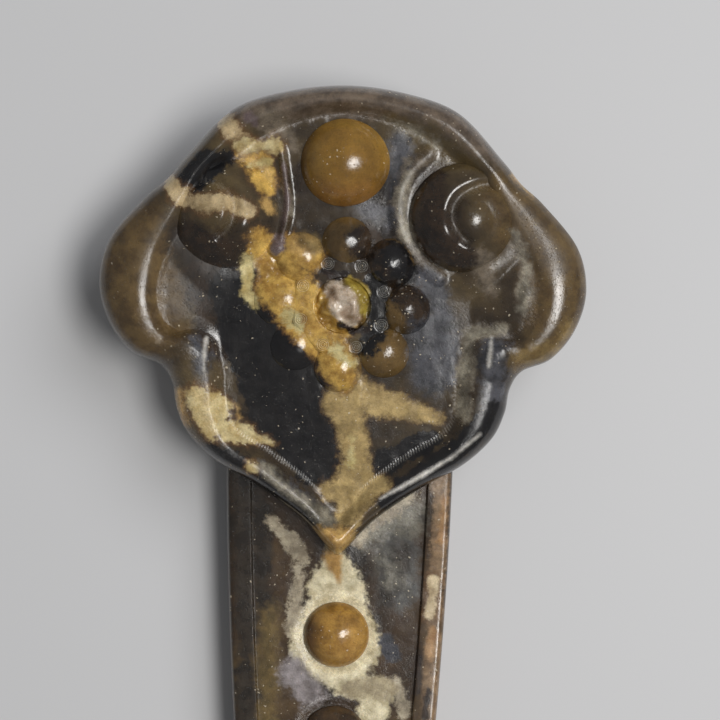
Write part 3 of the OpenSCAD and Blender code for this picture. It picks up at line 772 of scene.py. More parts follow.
# %% The cloud outline
# Edge x and y, foot x and y as shares of the half width and the length, and where the rim's crest lies between
# them. It lies at plain_crest except on the lobes, where it moves inwards by up to lobe_shift
plain_crest, lobe_shift = 0.46, 0.18
cloud_rows = [
    [0, 1, 0, 0.94, 0.46], [0.247, 0.985, 0.175, 0.923, 0.46], [0.462, 0.945, 0.34, 0.885, 0.46],
    [0.643, 0.849, 0.505, 0.814, 0.46], [0.722, 0.80, 0.577, 0.761, 0.48], [0.816, 0.757, 0.639, 0.713, 0.54],
    [0.957, 0.67, 0.713, 0.644, 0.6], [1, 0.579, 0.75, 0.564, 0.64], [0.957, 0.494, 0.73, 0.506, 0.62],
    [0.862, 0.432, 0.668, 0.481, 0.58], [0.746, 0.404, 0.598, 0.483, 0.56], [0.697, 0.366, 0.52, 0.462, 0.55],
    [0.678, 0.313, 0.482, 0.399, 0.55], [0.627, 0.257, 0.47, 0.324, 0.53], [0.511, 0.20, 0.425, 0.272, 0.48],
    [0.34, 0.148, 0.293, 0.228, 0.46], [0.155, 0.079, 0.136, 0.168, 0.46], [0.045, 0.02, 0.041, 0.113, 0.46],
    [0, 0, 0, 0.096, 0.46],
]


def cloud_loop(steps):
    """The whole outline as rows of edge x, y, foot x, y and crest, anticlockwise from the top."""
    half = np.array(cloud_rows)
    other = half[-2:0:-1] * [-1, 1, -1, 1, 1]
    loop = spline(np.vstack([half, other]), steps, closed=True)
    return np.roll(loop[::-1], 1, axis=0)


def lobe_share(crest):
    """1 where the crest lies furthest in, on the lobes, and 0 where it is plain."""
    return np.clip((crest - plain_crest) / lobe_shift, 0, 1)


def level(rows, w, l, share, z):
    """One ring of a plate. share is 0 at the edge and 1 at the rim's foot."""
    share = np.broadcast_to(share, len(rows))
    x = (rows[:, 0] + (rows[:, 2] - rows[:, 0]) * share) * w / 2
    y = (rows[:, 1] + (rows[:, 3] - rows[:, 1]) * share) * l
    return np.column_stack([x, y, np.broadcast_to(z, len(rows))])


def plate_rings(rows, w, l, field_t, rim_h, centre, field_rings, hole_r=0.0, pillow=None):
    """All rings of a plate, from the middle of its back over the rim to the middle of its field."""
    crest = rows[:, 4]
    foot = level(rows, w, l, 1.0, field_t)
    back = level(rows, w, l, back_inset, 0.0)
    angle = np.arctan2(foot[:, 1] - centre[1], foot[:, 0] - centre[0])
    inner = np.column_stack([centre[0] + max(hole_r, 0.02) * np.cos(angle),
                             centre[1] + max(hole_r, 0.02) * np.sin(angle), np.zeros(len(rows))])
    rings, shares = [], []

    def add(ring, share):
        rings.append(ring)
        shares.append(np.broadcast_to(share, len(rows)))

    for t in np.linspace(0, 1, 12)[:-1]:
        add(inner + (back - inner) * t, -1.0)
    for a in (0, 30, 60, 90):
        add(level(rows, w, l, back_inset * (1 - sin(a)), edge_low * (1 - cos(a))), -0.5)
    pillow = lobe_share(crest) if pillow is None else pillow
    fullness, sag = 1 / (1.25 + 0.55 * pillow), 0.2 + 0.15 * pillow
    for a in 90 * (1 - np.linspace(1, 0, 26) ** 1.8):
        away = max(cos(a), 0.0) ** fullness
        up = (1 - sag) * sin(a) ** fullness + sag * (1 - away ** 2)
        add(level(rows, w, l, crest * (1 - away), edge_high + (field_t + rim_h - edge_high) * up), crest * (1 - away))
    for t in np.linspace(0, 1, 26)[1:]:
        bow = 0.12 + 0.38 * pillow
        fall = bow * t * t + (1 - bow) * step(t, 0.3 * pillow, 1.0)
        add(level(rows, w, l, crest + (1 - crest) * t, field_t + rim_h * (1 - fall)), crest + (1 - crest) * t)
    top = inner + [0, 0, field_t]
    for t in np.linspace(0, 1, field_rings)[1:]:
        add(foot + (top - foot) * t, 1.0 + t)
    return np.array(rings), np.array(shares)


# %% [markdown]
# Head plate: the largest piece, with everything that is carved in one with it. It could be sculpted, but
# the carver's steps are simple to write as a height over the field: two soft lobes at the sides, two
# tendrils, a moat round each set stone, the groove that parts the side lobe from the lower lobe, and the
# bead at the tip. Written so, each step can be changed alone.

# %% Head plate
left_tendril = [(-12.6, 81), (-11.8, 76.4), (-11.1, 71.4), (-11.3, 67.6), (-12.1, 64.4), (-12.9, 61.6)]
right_tendril = [(16.4, 81), (13, 77.4), (11.1, 73.4), (10.7, 68.6), (12, 64.2), (14.6, 60.2), (19, 56.6)]
lobe_crease = [(35.6, 37.6), (34.4, 42.2), (32.6, 45.8), (28.6, 47.2)]
lobe_valley = [(32.4, 66), (35.2, 60), (36.8, 54), (37.2, 48)]
petal_angles = [360 / petals * i + petal_turn for i in range(petals)]
petal_places = [(petal_ring_r * cos(a), flower_y + petal_ring_r * sin(a)) for a in petal_angles]
set_stones = [(0, pearl_y, pearl_r), (scroll_x, scroll_y, scroll_r), (-scroll_x, scroll_y, scroll_r),
              (0, flower_y, centre_r)] + [(x, y, petal_r) for x, y in petal_places]


# What the right side of the head keeps and what is left of it on the worn left side: the swell beside the
# scroll, the moat round it, the depth of the crease and its frost
right_side = {"swell": 1.7, "moat": 0.45, "crease": 0.45, "crease_frost": 0.9}
left_side = {"swell": 0.5, "moat": 0.15, "crease": 0.05, "crease_frost": 0.1}
lobe_x, lobe_y = 41.5, 50
left_swell, right_swell = 1.3, head_rim_h + 0.6


def head_relief(points, share, crest):
    """Height to add at points of the head, frost, where the wheel chattered and how matte they are."""
    x, y = points[:, 0], points[:, 1]
    front, right = share > 0, x > 0
    inner = np.where(share > crest, 1 - np.clip((points[:, 2] - head_field_t) / head_rim_h, 0, 1), 0)
    field = step(share, 0.8, 1.05)
    foot_band = step(share, 0.9, 0.95) * (1 - step(share, 1.0, 1.02))

    # The soft side lobes, which swell over the foot of the rim
    rise = 0.7 * oval(np.abs(x) - 40.5, y - 47, 14, 15) * front
    over_field = points[:, 2] - head_field_t + rise
    side_lobe = np.hypot((np.abs(x) - lobe_x) / 16, (y - lobe_y) / np.where(y > lobe_y, 19, 12))
    pillow = np.where(right, right_swell * (1 - side_lobe ** 1.7), left_swell * (1 - step(side_lobe, 0, 1)))
    blend = 0.5 * step(pillow, 0, 1)
    soft = 0.5 * (over_field + pillow + np.sqrt((over_field - pillow) ** 2 + blend ** 2)) - 0.5 * blend
    rise += np.where((share > crest) & (pillow > 0), np.maximum(soft - over_field, 0), 0)

    # Where the polish is duller, and where the frost lies: on the field, the lobes and the lower left roll
    matte = np.maximum(1.6 * oval(x - 41, y - 68, 14, 14), 0.8 * oval(x + 33, y - 58, 13, 18))
    matte *= 1 - oval(np.abs(x) - lobe_x, y - 49, 6, 9)
    # The frost on the right of the field and under the pearl is also painted sheen: it lightens the colour there as
    # well as roughening it
    frost = [0.04 * field * (1 + 7 * step(x, 5, 25) * step(y, 30, 50)),
             0.8 * field * hump(distance_to_path(points, [(4, 70), (12, 67.5)]), 4.5),
             np.where(right, 0.1, 0.3) * oval(np.abs(x) - 42.5, y - 50, 8, 13) * front,
             oval(x + 30, y - 30, 12, 20) * front, 0.8 * foot_band]

    # A moat round each set stone. Beside the scrolls the ground swells up to the lobes instead
    for sx, sy, r in set_stones:
        gap = distance_to(points, sx, sy) - r
        if r == scroll_r:
            kept_here = right_side if sx > 0 else left_side
            outward = (np.sign(sx) * (x - sx) - 0.25 * (y - sy)) / distance_to(points, sx, sy)
            outward = step(outward, -0.1, 0.75)
            rise = np.maximum(rise, kept_here["swell"] * hump(gap, 6.0) * outward * inner)
            rise -= kept_here["moat"] * (1 - step(gap, 0.0, 1.7)) * (1 - outward) * inner
            frost.append(0.6 * field * hump(gap - 0.8, 1.8) * (1 - outward))
        elif r != petal_r:
            rise -= 0.3 * (1 - step(gap, 0.0, 1.5)) * inner

    # The tendrils, with the bulb that ends the left one
    for path, tall, half_w in ((left_tendril, 1.15, 1.05), (right_tendril, 0.7, 2.0)):
        away = distance_to_path(points, spline(path, 6))
        rise += tall * hump(away, half_w) * field
        frost.append(hump(away, half_w + 0.6) * field)
    bulb = distance_to(points, *left_tendril[-1])
    rise = np.maximum(rise, 1.5 * np.sqrt(np.clip(1 - (bulb / 2.0) ** 2, 0, 1)) * field)

    # The crease that parts the side lobe from the lower one, the roll below it and the bead at the tip
    for side, kept_here in ((-1, left_side), (1, right_side)):
        crease = distance_to_path(points * [side, 1, 1], spline(lobe_crease, 5))
        rise -= kept_here["crease"] * hump(crease, 2.4) * front
        frost.append(kept_here["crease_frost"] * hump(crease, 2.2))
        rise += 0.8 * hump(distance_to(points, side * 29.6, 42.2), 6.0) * front
    rise += 1.3 * hump(np.hypot(x + 0.6, (y - 3.6) * 0.95), 5.4) * front
    valley = distance_to_path(np.abs(points), spline(lobe_valley, 6))
    right_roll = distance_to_path(np.abs(points), [(25.5, 42), (24, 36), (24.2, 28)])
    worn_crest = np.where(y < 50, np.where(x < 0, 0.6, 0.35), 0.1) * hump((share - crest) / 0.2, 1)
    frost += [0.9 * hump(valley, 2.4), 0.9 * hump(right_roll, 2.6) * right, worn_crest * front]

    # What the hand left: an uneven foot, lumps in the ground of the flower and slow waves everywhere
    rise += 0.1 * rough(points, 1.5, 9) * hump((share - 0.97) / 0.12, 1)
    lumpy = hump(distance_to_path(points, [(-15, 62), (-7, 50), (0, 38)]), 9) * field
    rise += (0.3 * rough(points, 2.4, 3) + 0.1 * rough(points, 0.9, 4)) * lumpy
    rise += 0.10 * rough(points, 9, 1) * (share > 0.15) + 0.04 * rough(points, 2.6, 2) * field
    chatter = foot_band * (np.where(right, 1.0, 0.7) * (1 - step(y, 26, 31)) * step(y, 12, 17))
    return rise, np.clip(np.maximum.reduce(frost), 0, 1), chatter, np.clip(matte, 0, 1)


rows = cloud_loop(16)
lobes = lobe_share(rows[:, 4])
rows[:, 4] -= 0.07 * lobes * (level(rows, head_w, head_len, 1.0, 0.0)[:, 0] > 0)
rings, shares = plate_rings(rows, head_w, head_len, head_field_t, head_rim_h, (0, flower_y), 100, pillow=1.5 * lobes)
points, share = rings.reshape(-1, 3), shares.reshape(-1)
rise, frost, chatter, matte = head_relief(points, share, np.tile(rows[:, 4], len(rings)))
arc = path_lengths(level(rows, head_w, head_len, 1, 0))
points = points + np.column_stack([np.zeros((len(points), 2)), rise])
faces = ring_faces(len(rings), len(rows), caps=True)
head_plate = mesh_piece("head_plate_carved", on_head(points), faces, *dark_finish, frost=frost, chatter=chatter,
                        along=np.tile(arc, len(rings)), matte=matte)

# %% [markdown]
# Set stones with a plain dome: the pearl, the flower's centre and the boss on the tail. A ball squashed
# flat would do, but real domes of this kind are a cap of a larger ball with steep sides and a flat seat. So
# each is rings of points up such a cap. A little noise takes away the perfect roundness that handwork never
# has, and more of it makes the rough centre.

# %% Domes
def dome(name, y, r, h, base_z, place, finish, seed, lumps=0.12, frost_foot=0.5, fullness=None):
    """A domed stone with its middle at height y of the midline, on the field at base_z."""
    sides, rings_up = 96, 36
    angles = np.linspace(0, 2 * math.pi, sides, endpoint=False)
    ball = (r * r + h * h) / (2 * h)
    reach = math.asin(r / ball) if h <= r else math.pi - math.asin(r / ball)
    rows_up = [(0.02, -seat_depth), (0.85, -seat_depth), (1.0, -seat_depth)]
    rows_up += [(ball * math.sin(t) / r, h - ball + ball * math.cos(t)) for t in np.linspace(reach, 0, rings_up)[:-1]]
    rows_up += [(0.004, h)]
    if fullness:
        rows_up[3:] = [(s, h * (1 - s * s) ** fullness) for s in np.sqrt(np.linspace(0.999, 0.00002, rings_up))]
    pts, cold = [], []
    for k, (share_r, z) in enumerate(rows_up):
        wobble = 0.99 * (1 + 0.012 * np.sin(2 * angles + seed) + 0.008 * np.sin(3 * angles + 2.1 * seed))
        pts.append(np.column_stack([r * share_r * wobble * np.cos(angles),
                                    r * share_r * wobble * np.sin(angles), np.full(sides, z)]))
        cold += [frost_foot * float(1 - step(z, 0.0, 0.28 * h))] * sides
    pts = np.vstack(pts)
    lift = step(pts[:, 2], 0, 0.4 * h) * lumps
    pts[:, 2] -= lift * (1 + rough(pts + seed * 17, 0.45 * r, seed)) * 0.5
    pts[:, 2] += 0.35 * lift * rough(pts + seed * 23, 0.22 * r, seed + 1)
    pts += [0, y, base_z]
    return mesh_piece(name, place(pts), ring_faces(len(rows_up), sides, caps=True), *finish, frost=cold)


pearl = dome("pearl_polished", pearl_y, pearl_r, pearl_h, head_field_t, on_head, pearl_finish, 1)
flower_centre = dome("flower_centre_knob", flower_y, centre_r, centre_h, head_field_t, on_head, olive_finish, 2,
                     lumps=2.3, frost_foot=0.8, fullness=0.72)
tail_boss = dome("tail_boss_polished", tail_boss_y, tail_boss_r, tail_boss_h, tail_field_t, on_tail, amber_finish, 3)

# %% [markdown]
# Petals and bosses are the same thing many times: a cabochon, which is a stone ground to a dome with a flat
# seat. They could be modelled one by one, but a ring and a row are rules. So one stone is made from a ball
# whose lower half is pressed flat, and it is then put on every point of a circle or of a line, each time
# turned and sized a little differently, because each was ground by hand.

# %% One domed stone in nodes
def add_stone(tree, size, radius, height, seed):
    """Nodes that turn a ball into one domed stone. Fullness 0.5 is a half ball, and more gives softer shoulders."""
    fullness, seat, lumps = size["Fullness"], size["Seat Depth"], size["Lumps"]
    ball = node(tree, "GeometryNodeMeshUVSphere", in_Segments=72, in_Rings=44, in_Radius=1.0)
    x, y, z = position_parts(tree)
    out = x.times_plus(x, y * y)
    upper = math_node(tree, "GREATER_THAN", z, -0.001)
    share = math_node(tree, "MAXIMUM", 1.0 - out, 0.0) ** fullness * upper
    marked = keep(tree, ball, "dome", share)
    spot = xyz(tree, x * radius, y * radius, share.times_plus(height, (upper - 1.0) * seat))
    shaped = node(tree, "GeometryNodeSetPosition", in_Geometry=marked, in_Position=spot)
    waves = node(tree, "ShaderNodeTexNoise", noise_dimensions="4D", in_W=seed, in_Scale=0.4, in_Detail=2.0)[1]
    push = vector_node(tree, "SUBTRACT", waves, (0.5, 0.5, 0.7))
    reach = remap(tree, kept(tree, "dome"), 0.0, 0.4) * lumps
    return node(tree, "GeometryNodeSetPosition", in_Geometry=shaped, in_Offset=scaled(tree, push, reach))


def stone_pieces(name, mesh, finish, place, seed, frost_foot):
    """The piece for a grown ring or row of stones, with its frosted feet."""
    pts, dome_share = read_mesh(mesh, "dome")
    pts[:, 2] += 0.05 * rough(pts * [1, 1, 0], 1.4, seed) * step(dome_share, 0, 0.4)
    cold = frost_foot * (1 - step(dome_share, 0.0, 0.28))
    return dress(name, mesh, place(pts), *finish, frost=cold)


# %% [markdown]
# Petals: eight domes round the flower's centre, worn lower towards the left of the photograph. A circle of
# points carries them. The height of each comes from the direction it stands in, so the wear is one number
# and not eight.

# %% The ring of petals
petal_sizes = {
    "Petals": petals, "Ring Radius": petal_ring_r, "Turn": math.radians(petal_turn),
    "Petal Radius": petal_r * 1.18, "Petal Height": petal_h, "Fullness": 0.85, "Seat Depth": seat_depth,
    "Worn Height": 0.5, "High Side": math.radians(20), "Lumps": 0.5, "Seed": 10, "Stone": stone_olive,
}
full_turn = 6.28


def petal_tree():
    """A ring of domed petals, worn lower on the side away from High Side."""
    tree, size = new_tree("petal_ring", petal_sizes)
    ring = ring_of_points(tree, size["Petals"], size)
    x, y, _ = position_parts(tree)
    towards = math_node(tree, "COSINE", math_node(tree, "ARCTAN2", y, x) - size["High Side"])
    tall = straight(tree, towards, -1.0, 1.0, size["Worn Height"], 1.0)
    petal = add_stone(tree, size, size["Petal Radius"], size["Petal Height"], 3.0)
    across = chance(tree, 0.95, 1.03, size["Seed"])
    spin = turn_about_z(tree, chance(tree, 0.0, full_turn, size["Seed"]))
    made = node(tree, "GeometryNodeInstanceOnPoints", in_Points=ring, in_Instance=petal, in_Rotation=spin,
                in_Scale=xyz(tree, across, across, tall))
    return end_tree(tree, made, size["Stone"])


petal_ring = stone_pieces("flower_petals_polished", grown(petal_tree(), petal_sizes), olive_finish,
                          lambda p: on_head(p + [0, flower_y, head_field_t]), 10, 0.35)

# %% [markdown]
# Cloud scrolls: two round domes beside the pearl, each with a hooked groove that curls in to the middle.
# The groove could be cut with a boolean, but its walls would be too sharp for stone worn by hands. So it is
# a distance to a smooth line, pressed into the dome and left frosted, as the wheel left it. The left one is
# worn much flatter than the right one.

# %% Cloud scrolls
hook = [(9.6, 4.6), (7.8, 6.2), (3.7, 6.4), (0, 4.9), (-1.9, 2.6), (-2.1, -0.3), (-1.1, -2.6), (0.7, -4.2)]
hook_len = 24


def scroll(name, side, seed):
    """One scroll. side is 1 for the right scroll and -1 for its mirror image."""
    sides, steps_in = 160, 64
    shares_out = np.concatenate([[0.02, 0.97, 1.0], np.sqrt(np.linspace(0.999, 0.0001, steps_in))])
    pts = circles(scroll_r * shares_out, np.full(len(shares_out), -seat_depth), sides)
    s = distance_to(pts, 0, 0) / scroll_r
    line = spline(hook, 8)
    away = distance_to_path(pts, line)
    along = np.argmin([distance_to(pts, *p) for p in line], axis=0) / len(line)
    width = 1.5 - 0.5 * along
    top = (scroll_h - 0.3) * np.clip(1 - s ** 2.2, 0, 1) ** (0.62 if side > 0 else 1.15) + 0.1
    top += 0.9 * hump(distance_to(pts, -4.4, -2.4), 4.2)
    top += 0.6 * hump(distance_to(pts, 1.2, -0.6), 4.6)
    top -= 1.25 * np.exp(-(away / width) ** 2) * step(1 - s, 0.0, 0.12)
    top += 0.07 * rough(pts + seed * 31, 3.0, seed)
    upper = np.arange(len(pts)) >= 3 * sides
    pts[:, 2] = np.where(upper, top, pts[:, 2])
    frost_s = np.where(upper, np.maximum(0.9 * hump(away, 1.8), 0.7 * (1 - step(top, 0.1, 1.3))), 0.5)
    beat = np.where(upper, 0.35 * hump(away, 0.9), 0)
    pts[:, 0] *= side
    pts += [side * scroll_x, scroll_y, head_field_t]
    faces = ring_faces(len(shares_out), sides, caps=True)
    if side < 0:
        faces = [face[::-1] for face in faces]
    return mesh_piece(name, on_head(pts), faces, *dark_finish, frost=frost_s, chatter=beat, along=along * hook_len)


left_scroll = scroll("left_cloud_scroll_carved", -1, 5)
right_scroll = scroll("right_cloud_scroll_carved", 1, 6)

# %% [markdown]
# Flower disc: the ground between the flower's centre and its petals, with a bull's eye between every
# two petals, as a hollow drill leaves it. The disc is a ring-shaped mesh. The eyes repeat round it, so a
# tree puts the same three fine ridges and the bead in their middle on each of eight points, and joins
# them to the disc that it gets as its own mesh.

# %% Flower disc
def plain_disc():
    """The ring-shaped disc with a shallow dimple for each eye, in the flower's own frame."""
    sides, steps_out = 360, 30
    r_in, r_out = centre_r - 0.2, eye_ring_r + eye_r + 0.4
    profile = [(r_out, 0.0)] + [(r, disc_t) for r in np.linspace(r_out, r_in, steps_out)] + [(r_in, 0.0)]
    pts = circles(*zip(*profile), sides)
    eyes = [(eye_ring_r * cos(a + 180 / petals), eye_ring_r * sin(a + 180 / petals)) for a in petal_angles]
    nearest = np.min([distance_to(pts, *eye) for eye in eyes], axis=0)
    edge_down = 0.5 * step(distance_to(pts, 0, 0), r_out - 0.9, r_out)
    away_from_eyes = 0.07 * rough(pts, 1.4, 8) * step(nearest, 1.0, 1.7)
    pts[:, 2] += np.where(pts[:, 2] > 0.5, away_from_eyes - edge_down - 0.14 * (1 - step(nearest, 1.1, 1.4)), 0)
    mesh = bpy.data.meshes.new("disc")
    mesh.from_pydata([tuple(p) for p in pts], [], ring_faces(len(profile), sides, closed=True))
    return mesh


eye_sizes = {
    "Eyes": petals, "Ring Radius": eye_ring_r, "Turn": math.radians(petal_turn + 180 / petals), "Eye Radius": eye_r,
    "Ridge": 0.11, "Height": disc_t - 0.13, "Stone": stone_dark,
}


def eye_tree():
    """The disc that comes in, with an eye of three ridges and a bead on each point of a circle."""
    tree, size = new_tree("drilled_eyes", eye_sizes)
    section = node(tree, "GeometryNodeCurvePrimitiveCircle", in_Resolution=8, in_Radius=size["Ridge"])
    marks = []
    for share in (0.95, 0.62, 0.32):
        reach = size["Eye Radius"] * share
        circle = node(tree, "GeometryNodeCurvePrimitiveCircle", in_Resolution=32, in_Radius=reach)
        marks.append(node(tree, "GeometryNodeCurveToMesh", in_Curve=circle, in_Profile_Curve=section))
    marks.append(node(tree, "GeometryNodeMeshIcoSphere", in_Radius=size["Ridge"], in_Subdivisions=2))
    eye = keep(tree, join(tree, *marks), "eye", 1.0)
    ring = ring_of_points(tree, size["Eyes"], size, size["Height"])
    eyes = node(tree, "GeometryNodeInstanceOnPoints", in_Points=ring, in_Instance=eye)
    return end_tree(tree, join(tree, eyes, size["Geometry"]), size["Stone"])


def flower_disc_piece():
    """The disc with its eyes, on the head."""
    mesh = grown(eye_tree(), eye_sizes, plain_disc())
    pts, eye = read_mesh(mesh, "eye")
    return dress("flower_disc_drilled", mesh, on_head(pts + [0, flower_y, head_field_t]), *dark_finish,
                 frost=0.1 + 0.7 * eye, chatter=0.8 * eye, along=near_beat_crest)


flower_disc = flower_disc_piece()

# %% [markdown]
# Shaft: the long main piece. It could be cut from a bar with curves and booleans, but its shape follows a
# rule: one section is drawn once, and its width, thickness and height change along the shaft. It is wide
# at the neck, narrow at the waist, flat where it rests and arched between. So the section is a small ring
# of points, and a tree stretches it from station to station.

# %% The shaft's section and sizes
# Border and side of the section: distance in from the side, height over the field, and frost
border_section = [
    (8.0, 0.0, 0.1), (6.6, 0.0, 0.1), (5.4, 0.0, 0.15), (5.2, 0.06, 0.15), (5.02, 0.5, 0.15), (4.86, 0.92, 0.15),
    (4.7, 0.99, 0.1), (3.6, 1.0, 0.05), (2.0, 1.0, 0.05), (1.0, 0.93, 0.1), (0.4, 0.5, 0.1), (0.06, -0.4, 0.2),
    (0.0, -2.2, 0.2),
]
under_section = [(0.0, 2.6, 0.2), (0.25, 1.5, 0.2), (0.95, 0.6, 0.2), (2.2, 0.12, 0.3), (3.4, 0.0, 0.3)]
section_numbers = ("width_share", "side_offset", "top_share", "rise", "frost")
tail_rest_y = tail_tip_y + 6
boss_first_y, boss_last_y = head_tip_y - boss_gap_head, tail_tip_y + boss_gap_tail
boss_ys = [boss_first_y + (boss_last_y - boss_first_y) * i / (bosses - 1) for i in range(bosses)]
shaft_sizes = {
    "Stations": 470, "Back Y": back_y, "Front Y": front_y, "Head Tip Y": head_tip_y, "Tail Tip Y": tail_tip_y,
    "Waist Y": head_tip_y - waist_drop, "Neck Y": head_tip_y + neck_in,
    "Neck Rest Y": head_tip_y + neck_in - neck_rest_len, "Tail Rest Y": tail_rest_y,
    "Tail Lift Y": tail_rest_y - tail_rest_len, "Neck Width": neck_w, "Waist Width": waist_w, "Shank Width": shank_w,
    "Neck Thickness": neck_t, "Tail Thickness": tail_t, "Arch Height": arch_h, "Front Lift": front_lift,
    "Head Slope": math.tan(math.radians(head_tilt)), "Tail Slope": math.tan(math.radians(tail_tilt)), "Ease": ease,
    "Front Round": front_round, "Stone": stone_shaft,
}


def section_mesh():
    """The section as a ring of points that carry how they follow the width, the field and the underside."""
    edge, (flat, _, flat_frost) = border_section[0][0], under_section[-1]
    half = [(t, -edge * t, 1, 0, 0.15) for t in np.linspace(0, 1, 26)[:-1]]
    half += [(1, -p[0], 1, p[1], p[2]) for p in spline(border_section, 4)]
    half += [(1, -p[0], 0, p[1], p[2]) for p in spline(under_section, 3)]
    half += [(t, -flat * t, 0, 0, flat_frost) for t in np.linspace(1, 0, 9)[1:]]
    whole = np.array(half + [(-p[0], -p[1], p[2], p[3], p[4]) for p in half[-2:0:-1]])
    mesh = bpy.data.meshes.new("section")
    mesh.from_pydata([(k, 0, 0) for k in range(len(whole))], [], [])
    for name, column in zip(section_numbers, whole.T):
        mesh.attributes.new(name, "FLOAT", "POINT").data.foreach_set("value", column.astype(np.float32))
    return mesh


# %% The shaft's rule in nodes
def ease_nodes(tree, value, start, end):
    """0 before start, 1 after end and a cosine between."""
    return math_node(tree, "COSINE", straight(tree, value, start, end, 0.0, math.pi)).times_plus(-0.5, 0.5)


def bend_nodes(tree, distance, ease_len):
    """0 before 0 and equal to distance after it, with the corner rounded over ease_len to each side."""
    twice = ease_len * 2.0
    near = math_node(tree, "MINIMUM", math_node(tree, "MAXIMUM", distance + ease_len, 0.0), twice)
    return near * near / (ease_len * 4.0) + math_node(tree, "MAXIMUM", distance - ease_len, 0.0)


def shaft_tree(points_round):
    """The section that comes in, repeated at every station and closed at both ends."""
    tree, size = new_tree("shaft_loft", shaft_sizes)
    grid = node(tree, "GeometryNodeMeshGrid", in_Size_X=1.0, in_Size_Y=1.0, in_Vertices_X=points_round + 1,
                in_Vertices_Y=size["Stations"] + 2.0)
    x, y, _ = position_parts(tree)
    which = math_node(tree, "ROUND", (x + 0.5) * float(points_round))
    grid = keep(tree, grid, "which", math_node(tree, "MODULO", which, float(points_round)))
    last = size["Stations"] + 1.0
    station = math_node(tree, "ROUND", (y + 0.5) * last)
    grid = keep(tree, grid, "open", math_node(tree, "GREATER_THAN", station, 0.5)
                * math_node(tree, "LESS_THAN", station, last - 0.5))
    grid = keep(tree, grid, "y", straight(tree, station, 1.0, size["Stations"], size["Back Y"], size["Front Y"]))
    for name in section_numbers:
        value = node(tree, "GeometryNodeSampleIndex", data_type="FLOAT", domain="POINT", in_Geometry=size["Geometry"],
                     in_Value=kept(tree, name), in_Index=kept(tree, "which"))
        grid = keep(tree, grid, name, value)

    y, is_open, waist = kept(tree, "y"), kept(tree, "open"), size["Waist Width"]
    neck_ease = ease_nodes(tree, y, size["Waist Y"], size["Neck Y"])
    shank_ease = ease_nodes(tree, y * -1.0, size["Waist Y"] * -1.0, size["Tail Tip Y"] * -1.0)
    width = waist + (size["Neck Width"] - waist) * neck_ease + (size["Shank Width"] - waist) * shank_ease
    front = straight(tree, y, size["Front Y"] - size["Front Round"], size["Front Y"])
    back = straight(tree, y, size["Front Round"].times_plus(0.5, size["Back Y"]), size["Back Y"])
    side = width * 0.5
    for end in (front, back):
        side = side * math_node(tree, "SQRT", (end * end).times_plus(-0.5, 1.0))

    def slope(name, distance):
        return size[name] * bend_nodes(tree, distance, size["Ease"])

    around = straight(tree, y, size["Tail Rest Y"], size["Neck Rest Y"], 0.0, 2 * math.pi)
    arch = size["Arch Height"] * math_node(tree, "COSINE", around).times_plus(-0.5, 0.5)
    under = (arch + slope("Front Lift", y - size["Neck Y"]) + slope("Tail Slope", size["Tail Lift Y"] - y))
    thicker = ((size["Neck Thickness"] - size["Tail Thickness"])
               * ease_nodes(tree, y, size["Tail Rest Y"], size["Neck Rest Y"]))
    field = (arch + size["Tail Thickness"] + thicker + slope("Head Slope", y - size["Head Tip Y"])
             + slope("Tail Slope", size["Tail Tip Y"] - y))
    share = (kept(tree, "top_share") - 0.5).times_plus(is_open, 0.5)
    height = under + (field - under) * share + kept(tree, "rise") * is_open
    across = (side * kept(tree, "width_share") + kept(tree, "side_offset")) * is_open
    lofted = node(tree, "GeometryNodeSetPosition", in_Geometry=grid, in_Position=xyz(tree, across, y, height))
    closed = node(tree, "GeometryNodeMergeByDistance", in_Geometry=lofted, in_Distance=0.0005)
    return end_tree(tree, closed, size["Stone"])


section = section_mesh()
shaft_mesh = grown(shaft_tree(len(section.vertices)), shaft_sizes, section)
print("shaft", len(shaft_mesh.vertices), "points, section of", len(section.vertices))


# %% [markdown]
# Then the carver's work on the shaft: a moat round each boss, the slow unevenness of hand grinding, the
# flat beds for the two plates, and the frosting that the wheel left beside the head's edge. These are
# changes to the height of points that are already there, so they are made on the plain mesh.

# %% Finishing the shaft
def inside(points, outline):
    """True for each point of the plan inside the outline."""
    x, y = points[:, 0], points[:, 1]
    hit = np.zeros(len(points), bool)
    for (ax, ay), (bx, by) in zip(outline, np.roll(outline, -1, axis=0)):
        cross = (ay > y) != (by > y)
        if ay != by:
            hit ^= cross & (x < (bx - ax) * (y - ay) / (by - ay) + ax)
    return hit


def volume(mesh, pts):
    """Signed volume of a closed mesh: negative when its faces point inwards."""
    mesh.calc_loop_triangles()
    corners = np.empty(3 * len(mesh.loop_triangles), dtype=np.int32)
    mesh.loop_triangles.foreach_get("vertices", corners)
    a, b, c = pts[corners.reshape(-1, 3).T]
    return float(np.sum(np.cross(a, b) * c) / 6)


